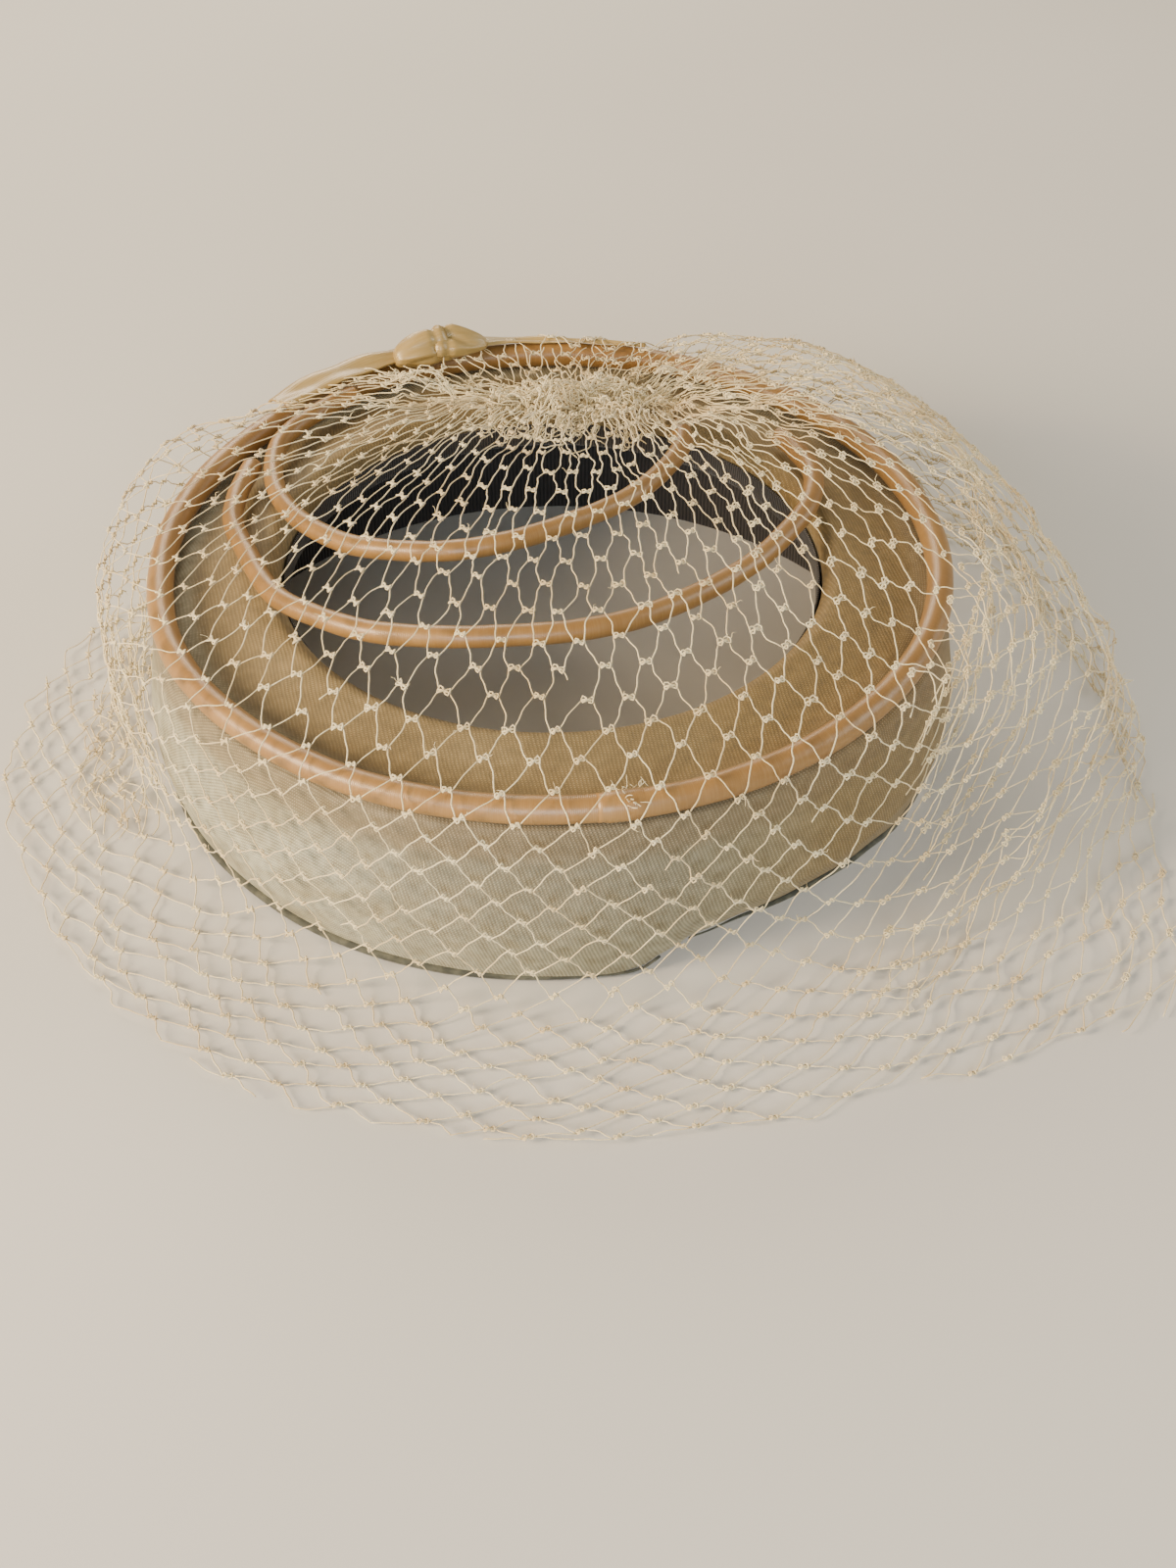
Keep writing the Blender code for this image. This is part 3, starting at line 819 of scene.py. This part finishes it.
class Meridian:
    """A meridian measured along itself: 0 is the outer roll, less is inwards and more is outwards."""

    def __init__(self, points, crest):
        self.points = points
        self.reach = [0.0]
        for before, after in zip(self.points, self.points[1:]):
            self.reach.append(self.reach[-1] + (after - before).length)
        start = self.reach[crest]
        self.reach = [r - start for r in self.reach]
        self.inner, self.outer = self.reach[0], self.reach[-1]

    def at(self, travelled):
        travelled = min(max(travelled, self.inner), self.outer)
        low, high = 0, len(self.reach) - 1
        while high - low > 1:
            middle = (low + high) // 2
            if self.reach[middle] <= travelled:
                low = middle
            else:
                high = middle
        part = (travelled - self.reach[low]) / (self.reach[high] - self.reach[low])
        return self.points[low].lerp(self.points[high], part)

    def column_width(self, travelled):
        spot = self.at(travelled)
        if travelled >= 0.0:
            return TAU * math.hypot(spot.x, spot.y) / COLUMNS
        share = travelled / self.inner
        at_mouth = math.pi * (MOUTH[0] + MOUTH[1]) / COLUMNS
        return TAU * ROLL_RADIUS / COLUMNS * (1 - share) + at_mouth * share

    def half_row(self, travelled):
        """A mesh keeps its side, drawn tight over the crown and slack below; wide columns bring rows close."""
        half = self.column_width(travelled) / 2
        slack = min(max(travelled / 12.0, 0.0), 1.0)
        side = MESH_SIDE + (SLACK_SIDE - MESH_SIDE) * slack
        return math.sqrt(max(side ** 2 - half ** 2, 12.0))

    def row_places(self):
        """Where each row of knots crosses this meridian; row 0 lies on the outer roll."""
        places = {0: 0.0}
        row, travelled = 0, 0.0
        while travelled < self.outer:
            travelled += self.half_row(travelled)
            row += 1
            places[row] = travelled
        row, travelled = 0, 0.0
        while travelled > self.inner:
            travelled -= self.half_row(travelled)
            row -= 1
            places[row] = travelled
        return places


def drifted(half_column):
    """The line that one half column of knots follows: beyond the roll it turns aside, little by little."""
    points = [p for p, reach in zip(straight[half_column].points, straight[half_column].reach) if reach < 0.0]
    crest = len(points)
    travelled, outer = 0.0, 1.0
    while travelled < outer:
        turned = half_column - DRIFT * travelled
        low = math.floor(turned)
        before, after = straight[low % HALVES], straight[(low + 1) % HALVES]
        points.append(before.at(travelled).lerp(after.at(travelled), turned - low))
        outer = before.outer + (after.outer - before.outer) * (turned - low)
        travelled += 2.0
    return points, crest


straight = [Meridian(*meridian(360.0 * i / HALVES)) for i in range(HALVES)]
meridians = [Meridian(*drifted(i)) for i in range(HALVES)]
row_places = [m.row_places() for m in meridians]
print("rows of knots from", min(min(p) for p in row_places), "to", max(max(p) for p in row_places))

# %% [markdown]
# ## Knots and strands
#
# Four strands meet in each knot. A knot is a short bar that lies along its row with a thread wound
# over it in a figure of eight, so the meshes are long hexagons more than diamonds. All threads are
# curves with a round bevel, made into meshes when a whole zone of the veil is drawn.

# %% Threads
THREAD_RADIUS = 0.17
BAR_THICKER = 2.1
WRAP_THICKER = 1.3
KNOT_LENGTH = 2.6
SLACK_KNOT = 0.8
KNOT_WIDTH = 0.82
BROKEN = 0.006
STRAND_POINTS = 8
FIRST_ROW, ROLL_ROW, TABLE_ROW, LAST_ROW = -60, 0, 10, 60


def add_thread(curve, line, thickness=1.0, closed=False):
    """One round thread through a line of points; its thickness is a number or one for each point."""
    spline = curve.splines.new("POLY")
    spline.points.add(len(line) - 1)
    spline.points.foreach_set("co", [c for p in line for c in (p.x * MM, p.y * MM, p.z * MM, 1.0)])
    each = thickness if isinstance(thickness, list) else [thickness] * len(line)
    spline.points.foreach_set("radius", each)
    spline.use_cyclic_u = closed
    spline.use_smooth = True


def new_threads(name, radius=THREAD_RADIUS):
    curve = bpy.data.curves.new(name, "CURVE")
    curve.dimensions = "3D"
    curve.bevel_depth = radius * MM
    curve.bevel_resolution = 0
    curve.use_fill_caps = True
    return curve


def drawn(curve):
    """The threads of a curve as one bmesh, with their caps joined on."""
    holder = bpy.data.objects.new(curve.name + "_lines", curve)
    bpy.context.scene.collection.objects.link(holder)
    bpy.context.view_layer.update()
    ready = holder.evaluated_get(bpy.context.evaluated_depsgraph_get())
    bm = bmesh.new()
    bm.from_mesh(bpy.data.meshes.new_from_object(ready))
    bpy.data.objects.remove(holder, do_unlink=True)
    bmesh.ops.remove_doubles(bm, verts=bm.verts, dist=1e-7)
    bmesh.ops.scale(bm, vec=(1 / MM, 1 / MM, 1 / MM), verts=bm.verts)
    return bm


def add_knot(curve, knot, scale=1.0):
    """The bar of a knot and the figure of eight wound over it."""
    spot, along, across, outward = knot
    size = chance.uniform(0.8, 1.25) * scale
    half = KNOT_LENGTH / 2 * size
    bar = [spot + along * (half * part) + outward * (0.15 * (1 - part * part)) for part in (-1.0, -0.3, 0.3, 1.0)]
    add_thread(curve, bar, [1.2, BAR_THICKER, BAR_THICKER, 1.2])
    eight = []
    slip = chance.uniform(-0.3, 0.3)
    for i in range(10):
        turn = TAU * i / 10
        wave = along * (0.95 * half * math.cos(turn)) + across * (KNOT_WIDTH * size * math.sin(2 * turn + slip))
        eight.append(spot + wave + outward * (0.35 * math.cos(3 * turn) + 0.25))
    add_thread(curve, eight, WRAP_THICKER, closed=True)
    if chance.random() < FRAYED:
        fray = spot + along * chance.choice((-half, half))
        away = (along * chance.uniform(-1, 1) + across * chance.uniform(-1, 1) + outward).normalized()
        ends = [fray + (away + noise_vector(fray * k) * 0.5) * (0.7 * k) for k in range(4)]
        add_thread(curve, ends, [0.6, 0.5, 0.4, 0.3])


chance = random.Random(7)
FRAYED = 0.3


# How much the net is crumpled by angle, in millimetres: over the crown, down the wall, on the table
CRUMPLE = {
    "angle": (10, 60, 110, 150, 185, 215, 270, 320, 345),
    "crown": (5.0, 6.5, 7.5, 5.5, 3.0, 1.8, 1.6, 2.2, 3.5),
    "wall": (4.0, 2.5, 1.5, 2.5, 3.0, 1.8, 0.8, 2.5, 4.5),
    "table": (2.0, 2.0, 2.0, 3.0, 4.0, 3.5, 3.0, 3.5, 3.0),
}
FOLD_SIZE = 17.0

# How far the bars of the knots lean from their row by angle, in radians
LEAN = {
    "angle": (160, 200, 240, 280, 300, 330),
    "turn": (0.0, 0.35, 0.55, 0.4, 0.1, 0.0),
}
WALL_RADIUS = 99.0


class Net:
    """One layer of the veil. A second layer lies closer to the hat, shifted and crumpled more."""

    def __init__(self, angles=(0.0, 360.0), closer=0.0, crush=1.0, slide=0.0):
        self.closer, self.crush, self.slide = closer, crush, slide
        first, last = (round(a * HALVES / 360.0) for a in angles)
        self.half_columns = range(first, last)
        self.knots = {}
        for half_column in self.half_columns:
            line = meridians[half_column % HALVES]
            for row, travelled in row_places[half_column % HALVES].items():
                inside = line.inner < travelled + self.slide < line.outer
                if (half_column + row) % 2 == 0 and inside:
                    self.knots[half_column % HALVES, row] = self.knot(half_column, row, travelled)

    def spot(self, half_column, travelled):
        """A point of the layer between two half columns, crumpled by a smooth noise."""
        travelled += self.slide
        low = math.floor(half_column)
        part = half_column - low
        line = meridians[low % HALVES]
        spot = line.at(travelled).lerp(meridians[(low + 1) % HALVES].at(travelled), part)
        degrees = polar(spot)[1] if travelled > 0.0 else 180.0 * half_column / COLUMNS
        crown = around(CRUMPLE, "crown", degrees) * min(max(travelled / line.inner, 0.0), 1.0)
        below = min(max((ROLL_Z - spot.z) / ROLL_Z, 0.0), 1.0) if travelled > 0.0 else 0.0
        wall_part = around(CRUMPLE, "wall", degrees) * 4 * below * (1 - below)
        flat = around(CRUMPLE, "table", degrees) * max(below - 0.9, 0.0) * 10.0
        amount = (crown + wall_part + flat + 0.5) * self.crush
        outward = Vector((spot.x, spot.y, 0.0)).normalized()
        if travelled > 0.0:
            over = max(math.hypot(spot.x, spot.y) - WALL_RADIUS, 0.0)
            spot -= outward * (self.closer * over * min(travelled / 20.0, 1.0))
        own = Vector((self.slide, 0.0, 5 * self.closer))
        drift = noise_vector(spot / FOLD_SIZE + own) * amount
        drift += noise_vector(3 * spot / FOLD_SIZE + own) * (0.35 * crown * self.crush)
        if travelled > 0.0:
            drift -= outward * min(drift.dot(outward), 0.0)
        drift.z = abs(drift.z) * (0.4 if flat > 0.0 else 1.0)
        spot += drift
        spot.z = max(spot.z, ON_TABLE)
        return spot

    def knot(self, half_column, row, travelled):
        """Place, row direction, sideways direction and outward direction of one knot."""
        line = meridians[half_column % HALVES]
        along = self.spot(half_column + 0.5, travelled) - self.spot(half_column - 0.5, travelled)
        down = line.at(travelled + 0.5) - line.at(travelled - 0.5)
        along.normalize()
        outward = along.cross(down).normalized()
        outward = outward if outward.z > -0.2 else -outward
        across = outward.cross(along)
        lean = around(LEAN, "turn", 180.0 * half_column / COLUMNS) * (row > -3)
        twist = chance.gauss(lean, 0.16 * self.crush)
        along, across = (
            along * math.cos(twist) + across * math.sin(twist),
            across * math.cos(twist) - along * math.sin(twist),
        )
        spot = self.spot(half_column, travelled)
        spot += along * chance.gauss(0.0, 0.45) + across * chance.gauss(0.0, 0.45)
        spot += outward * abs(chance.gauss(0.0, 0.25))
        spot.z = max(spot.z, ON_TABLE)
        return spot, along, across, outward

    def strand(self, half_column, row, step):
        """A slack thread from a knot's end to the knot half a column on and a row further out."""
        ends = ((half_column % HALVES, row), ((half_column + step) % HALVES, row + 1))
        start_knot, end_knot = (self.knots.get(end) for end in ends)
        places = [row_places[column].get(at_row) for column, at_row in ends]
        if None in places or not (start_knot or end_knot):
            return None
        start_place, end_place = places
        tight = row < ROLL_ROW
        reach = KNOT_LENGTH * (0.45 if tight else 0.45 * SLACK_KNOT) * step
        surface_start = self.spot(half_column, start_place)
        surface_end = self.spot(half_column + step, end_place)
        start_shift = start_knot[0] + start_knot[1] * reach - surface_start if start_knot else Vector()
        end_shift = end_knot[0] - end_knot[1] * reach - surface_end if end_knot else Vector()
        wave = chance.uniform(0.0, TAU)
        sideways = chance.gauss(0.0, 0.45 if tight else 0.2)
        lifted = abs(chance.gauss(0.0, 0.3))
        knot = start_knot or end_knot
        line = []
        for i in range(STRAND_POINTS + 1):
            part = i / STRAND_POINTS
            spot = self.spot(half_column + step * part, start_place + (end_place - start_place) * part)
            spot += start_shift * (1 - part) + end_shift * part
            bow = math.sin(math.pi * part)
            ripple = bow * math.sin(wave + 9.0 * part)
            spot += knot[1] * (sideways * bow + 0.2 * ripple) + knot[3] * (lifted * bow + 0.12 * ripple)
            spot.z = max(spot.z, ON_TABLE - 0.2)
            line.append(spot)
        return line

    def draw(self, name, first, last):
        """The knots of some rows, and the strands that leave them outwards, as one piece."""
        curve = new_threads(name)
        for half_column in self.half_columns:
            for row in range(first, last):
                if (half_column + row) % 2:
                    continue
                for step in (-1, 1):
                    line = self.strand(half_column, row, step)
                    if line:
                        torn = chance.random() < BROKEN
                        add_thread(curve, line[:STRAND_POINTS // 2] if torn else line)
                if (half_column % HALVES, row) in self.knots:
                    line = meridians[half_column % HALVES]
                    width = line.column_width(row_places[half_column % HALVES][row])
                    scale = min(0.3 + width / 9.0, 1.0) if row < ROLL_ROW else SLACK_KNOT
                    add_knot(curve, self.knots[half_column % HALVES, row], scale)
        return finish_piece(name, drawn(curve), thread_finish, ["veil"])


# %% Veil in three zones
outer_net = Net()
print(len(outer_net.knots), "knots")
crown_net = outer_net.draw("veil_over_crown", FIRST_ROW, ROLL_ROW)
skirt_net = outer_net.draw("veil_skirt", ROLL_ROW, TABLE_ROW)
table_net = outer_net.draw("veil_on_table", TABLE_ROW, LAST_ROW)

# %% [markdown]
# ## Doubled parts
#
# The veil is wider than the hat, so it lies double in places: inside the puffed fold on the right,
# low on the left, and crumpled at the back on the left. A second layer of the same net stands for
# each, nearer to the hat and slid along by half a mesh.

# %% Inner layers
right_net = Net(angles=(324.0, 404.0), closer=0.38, crush=1.1, slide=4.0)
right_layer = right_net.draw("veil_inner_right", ROLL_ROW, TABLE_ROW + 2)
near_net = Net(angles=(334.0, 376.0), closer=0.78, crush=0.8, slide=2.0)
near_layer = near_net.draw("veil_near_wall", 2, TABLE_ROW)
foot_net = Net(angles=(316.0, 356.0), closer=0.07, crush=1.8, slide=2.5)
foot_layer = foot_net.draw("veil_foot_fold", 12, 17)
dome_net = Net(angles=(14.0, 90.0), closer=0.25, crush=1.3, slide=4.5)
dome_layer = dome_net.draw("veil_inner_dome", -6, 8)
left_net = Net(angles=(164.0, 216.0), closer=0.5, crush=1.4, slide=3.5)
left_layer = left_net.draw("veil_inner_left", 8, LAST_ROW)
back_net = Net(angles=(44.0, 138.0), crush=1.9, slide=-4.5)
back_layer = back_net.draw("veil_inner_back", -8, ROLL_ROW)

# %% [markdown]
# ## The frayed seam
#
# Fine threads stand out of the turned-over end of the outer roll's satin. They are drawn like the
# net's threads, only thinner and shorter, each from its own place round the roll.

# %% Seam threads
SEAM_THREADS = 22
SEAM_MIDDLE = 280.5


def make_fray():
    curve = new_threads("seam_threads", 0.1)
    for i in range(SEAM_THREADS):
        degrees = SEAM_MIDDLE + chance.gauss(0.0, 1.4)
        slope = math.radians(chance.uniform(40.0, 190.0))
        centre = ROLL_RADIUS + out_of_round(ROLL_RADIUS, degrees)
        spot = place(centre + 3.3 * math.cos(slope), degrees, ROLL_Z + 3.3 * math.sin(slope))
        away = place(math.cos(slope), degrees, math.sin(slope))
        away += place(chance.gauss(0.0, 0.8), degrees + 90.0, 0.0) + Vector((0.0, -0.5, 0.0))
        line = [spot]
        for k in range(chance.randint(3, 6)):
            away += 0.7 * noise_vector(spot * 0.9 + Vector((i, 0.0, 0.0)))
            spot = spot + away.normalized() * 0.55
            line.append(spot)
        add_thread(curve, line, chance.uniform(0.7, 1.3))
    return finish_piece("seam_threads", drawn(curve), thread_finish)


make_fray()

# %% [markdown]
# ## The gather
#
# Where the net is drawn together it heaps up into a soft tangle. Each thread of it starts somewhere
# on a flat oval and wanders outwards over a low dome, and small knots lie among them. A simulation of
# the real gather would need hundreds of touching threads; this heap has its size and its lightness.

# %% Gather
TANGLE_CENTRE = Vector((8.0, 52.0, 0.0))
TANGLE_TURN = math.radians(0.0)
TANGLE_SIZE = (25.5, 13.0)
TANGLE_BASE = 54.0
TANGLE_HEIGHT = 13.0
TANGLE_PEAK = 9.0
TANGLE_THREADS = 270
TANGLE_KNOTS = 120
TANGLE_STEP = 1.25


def heap(across, forth, level):
    """A point of the heap from its place on the oval, 0 to 1 from the middle, and its level."""
    spot = Vector((across * TANGLE_SIZE[0], forth * TANGLE_SIZE[1], 0.0))
    spot.rotate(Matrix.Rotation(TANGLE_TURN, 3, "Z"))
    far = min(across * across + forth * forth, 1.6)
    peaks = 0.75 + 0.9 * noise_vector(spot / TANGLE_PEAK).x
    spot.z = TANGLE_BASE + TANGLE_HEIGHT * level * peaks * max(1 - far * 0.7, 0.15)
    return TANGLE_CENTRE + spot


def make_tangle():
    curve = new_threads("gathered_net")
    for i in range(TANGLE_THREADS):
        turn = chance.uniform(0.0, TAU)
        start = 0.95 * chance.random() ** 0.7
        across, forth = start * math.cos(turn), start * math.sin(turn)
        heading = turn + chance.gauss(0.0, 0.9)
        level = chance.uniform(0.1, 1.0)
        curl = chance.gauss(0.0, 0.22)
        line = []
        for k in range(chance.randint(6, 13)):
            spot = heap(across, forth, level)
            line.append(spot)
            across += math.cos(heading) * TANGLE_STEP / TANGLE_SIZE[0]
            forth += math.sin(heading) * TANGLE_STEP / TANGLE_SIZE[1]
            curl = 0.8 * curl + chance.gauss(0.0, 0.5)
            heading += curl
            level = min(max(level + chance.gauss(0.0, 0.06), 0.0), 1.1)
        add_thread(curve, line, chance.uniform(0.8, 1.25))
    for i in range(TANGLE_KNOTS):
        turn, start = chance.uniform(0.0, TAU), math.sqrt(chance.random())
        spot = heap(start * math.cos(turn), start * math.sin(turn), chance.uniform(0.3, 1.05))
        along = Vector((chance.gauss(0, 1), chance.gauss(0, 1), chance.gauss(0, 0.5))).normalized()
        outward = along.orthogonal().normalized()
        add_knot(curve, (spot, along, outward.cross(along), outward), chance.uniform(0.7, 1.0))
    return finish_piece("gathered_net", drawn(curve), thread_finish, ["veil_gather"])


tangle = make_tangle()

# %% [markdown]
# ## Bow and band
#
# A band of pale satin lies over the outer roll at the back and is folded into a small bow with two
# puffed lobes. A lobe starts as a sphere whose poles are the knot and the tip; it is drawn flat and
# pleated towards the knot. The band is a grid bent round the roll, thin, with wavy edges.

# %% Bow and band
BOW_ANGLE = 109.0
BOW_RADIUS = 89.0
BOW_Z = 55.4
BOW_TILT = math.radians(27.0)
LOBE_LENGTH = 15.5
LOBE_DEPTH = 5.2
LOBE_HEIGHT = 5.6
PLEATS = 3
BAND_ANGLES = (139.0, 74.0)
BAND_SLOPES = (116.0, 40.0)
BAND_RADIUS = 5.8
BAND_RISE = 16.0
BAND_PUFF = 1.3
BAND_SINK = 1.5


def make_lobe(name, side, node, narrowing):
    """One lobe: side is -1 for the left and 1 for the right; it narrows towards its tip."""
    outwards = place(1.0, BOW_ANGLE, 0.0)
    rightwards = place(1.0, BOW_ANGLE - 90.0, 0.0)
    upwards = Vector((0.0, 0.0, math.cos(BOW_TILT))) + outwards * math.sin(BOW_TILT)
    backwards = outwards * math.cos(BOW_TILT) - Vector((0.0, 0.0, math.sin(BOW_TILT)))
    middle = place(BOW_RADIUS, BOW_ANGLE, BOW_Z)
    bm = bmesh.new()
    bmesh.ops.create_uvsphere(bm, u_segments=64, v_segments=48, radius=1.0)
    measured = bm.verts.layers.float.new("measured")
    turned = bm.verts.layers.float.new("turned")
    for point in bm.verts:
        part = (point.co.z + 1) / 2
        turn = math.atan2(point.co.y, point.co.x)
        pleat = abs(math.sin(PLEATS * turn / 2 + 1.4 * part + 0.7 * side)) - 0.6
        fine = math.cos(9 * turn + 5 * part * side)
        girth = math.hypot(point.co.x, point.co.y) ** 0.5 * (1.02 - narrowing * part)
        crease = turn + (0.3 + 1.7 * part if side > 0 else 1.5 - 0.5 * part)
        girth *= 1 + 0.3 * pleat * (1.1 - 0.7 * part) + 0.03 * fine
        girth *= 1 - 0.32 * math.exp(-(crease / 0.22) ** 2) * (1 - part)
        girth *= 1 - 0.14 * math.exp(-((part - 0.26) / 0.08) ** 2)
        along = side * (LOBE_LENGTH * part - 2.8) + 0.9 * math.cos(turn) * (1 - part) * side
        depth = LOBE_DEPTH * girth * math.sin(turn)
        upper = 1.4 - 0.35 * part if math.cos(turn) > 0 else 0.7
        height = LOBE_HEIGHT * girth * math.cos(turn) * upper - 0.8 * part * part
        point[measured] = part * LOBE_LENGTH
        point[turned] = (turn / TAU) % 1.0
        point.co = middle + rightwards * along + backwards * depth + upwards * height
    bmesh.ops.recalc_face_normals(bm, faces=bm.faces)
    girth = TAU * LOBE_DEPTH
    lay_uv(bm, (lambda vert: vert[turned] * girth, girth), lambda vert: vert[measured])
    return finish_piece(name, bm, pale_finish, [node])


def make_band():
    bm = bmesh.new()
    bmesh.ops.create_grid(bm, x_segments=130, y_segments=14, size=0.5)
    measured = bm.verts.layers.float.new("measured")
    crossed = bm.verts.layers.float.new("crossed")
    for point in bm.verts:
        along, across = point.co.x + 0.5, point.co.y + 0.5
        degrees = BAND_ANGLES[0] + (BAND_ANGLES[1] - BAND_ANGLES[0]) * along
        tail = max(along - 0.5, 0.0) / 0.5
        far = 1 - 0.75 * tail
        wavy = 0.06 * math.sin(31 * along) + 0.04 * math.sin(53 * along + 1)
        reach = 0.5 + (across - 0.5) * far + wavy * (across - 0.2)
        top = BAND_SLOPES[0] + BAND_RISE * max(1 - along / 0.45, 0.0)
        slope = math.radians(top + (BAND_SLOPES[1] - top) * reach)
        fold = 0.45 * math.sin(9 * across + 11 * along) + 0.25 * math.sin(40 * along + 5 * across)
        puff = BAND_PUFF * math.sin(math.pi * min(along / 0.45, 1.0))
        radius = BAND_RADIUS + fold * (1 - 0.6 * tail) + puff - BAND_SINK * math.sin(math.pi / 2 * min(1.5 * tail, 1.0))
        centre = ROLL_RADIUS + out_of_round(ROLL_RADIUS, degrees)
        point[measured] = along * math.radians(BAND_ANGLES[0] - BAND_ANGLES[1]) * ROLL_RADIUS
        point[crossed] = across * BAND_RADIUS * math.radians(BAND_SLOPES[0] - BAND_SLOPES[1])
        point.co = place(centre + radius * math.cos(slope), degrees, ROLL_Z + radius * math.sin(slope))
    bmesh.ops.recalc_face_normals(bm, faces=bm.faces)
    lay_uv(bm, (lambda vert: vert[crossed], 0.0), lambda vert: vert[measured])
    piece = finish_piece("satin_band", bm, pale_finish, ["bow_band"])
    wall(piece, 0.5)
    return piece


band = make_band()
left_lobe = make_lobe("bow_left", -1, "bow_loop", 0.3)
right_lobe = make_lobe("bow_right", 1, "bow_fold", 0.5)

# %% [markdown]

# %% [markdown]
# ## Floor and light
#
# The hat stands on a pale table in soft light from a large window on the left, high and in front.
# A weak light from the right keeps the shadows open.

# %% Floor and light
FLOOR_SIZE = 3.0


def make_floor():
    tree = new_tree("pale table")
    where = tree.node("TexCoord", {}, {}, output=3)
    tone = noise(tree, where, 3.0, 2.0)
    colour = tone.between(0.3, 0.7).mix((0.60, 0.585, 0.55), (0.64, 0.625, 0.59))
    links = {"Base Color": colour, "Roughness": 0.6 + 0.1 * tone}
    finish = coat(tree, links, Specular_IOR_Level=0.25)
    bm = bmesh.new()
    bmesh.ops.create_grid(bm, x_segments=1, y_segments=1, size=FLOOR_SIZE)
    mesh = bpy.data.meshes.new("table_top")
    bm.to_mesh(mesh)
    bm.free()
    mesh.materials.append(finish)
    table_top = bpy.data.objects.new("table_top", mesh)
    bpy.context.scene.collection.objects.link(table_top)


def area_light(name, spot, aim, size, power, colour):
    lamp = bpy.data.lights.new(name, "AREA")
    lamp.shape = "DISK"
    lamp.size = size
    lamp.energy = power
    lamp.color = colour
    holder = bpy.data.objects.new(name, lamp)
    holder.location = spot
    holder.rotation_euler = (Vector(aim) - Vector(spot)).to_track_quat("-Z", "Y").to_euler()
    bpy.context.scene.collection.objects.link(holder)


make_floor()
AIM = (0.0, 0.0, 0.03)
area_light("left_window", (-1.0, -0.45, 0.52), AIM, 0.5, 33.0, (1.0, 0.78, 0.53))
area_light("front_window", (-0.05, -1.15, 0.5), AIM, 0.6, 10.5, (0.86, 0.95, 1.0))
area_light("right_window", (1.1, 0.15, 0.45), AIM, 0.6, 6.5, (1.0, 0.95, 0.86))
area_light("back_window", (-0.25, 1.05, 0.62), AIM, 0.6, 11.0, (1.0, 0.86, 0.66))
sky = bpy.data.worlds.new("soft_room")
sky.use_nodes = True
sky.node_tree.nodes["Background"].inputs["Color"].default_value = (1.0, 0.9, 0.74, 1.0)
sky.node_tree.nodes["Background"].inputs["Strength"].default_value = 0.3
bpy.context.scene.world = sky
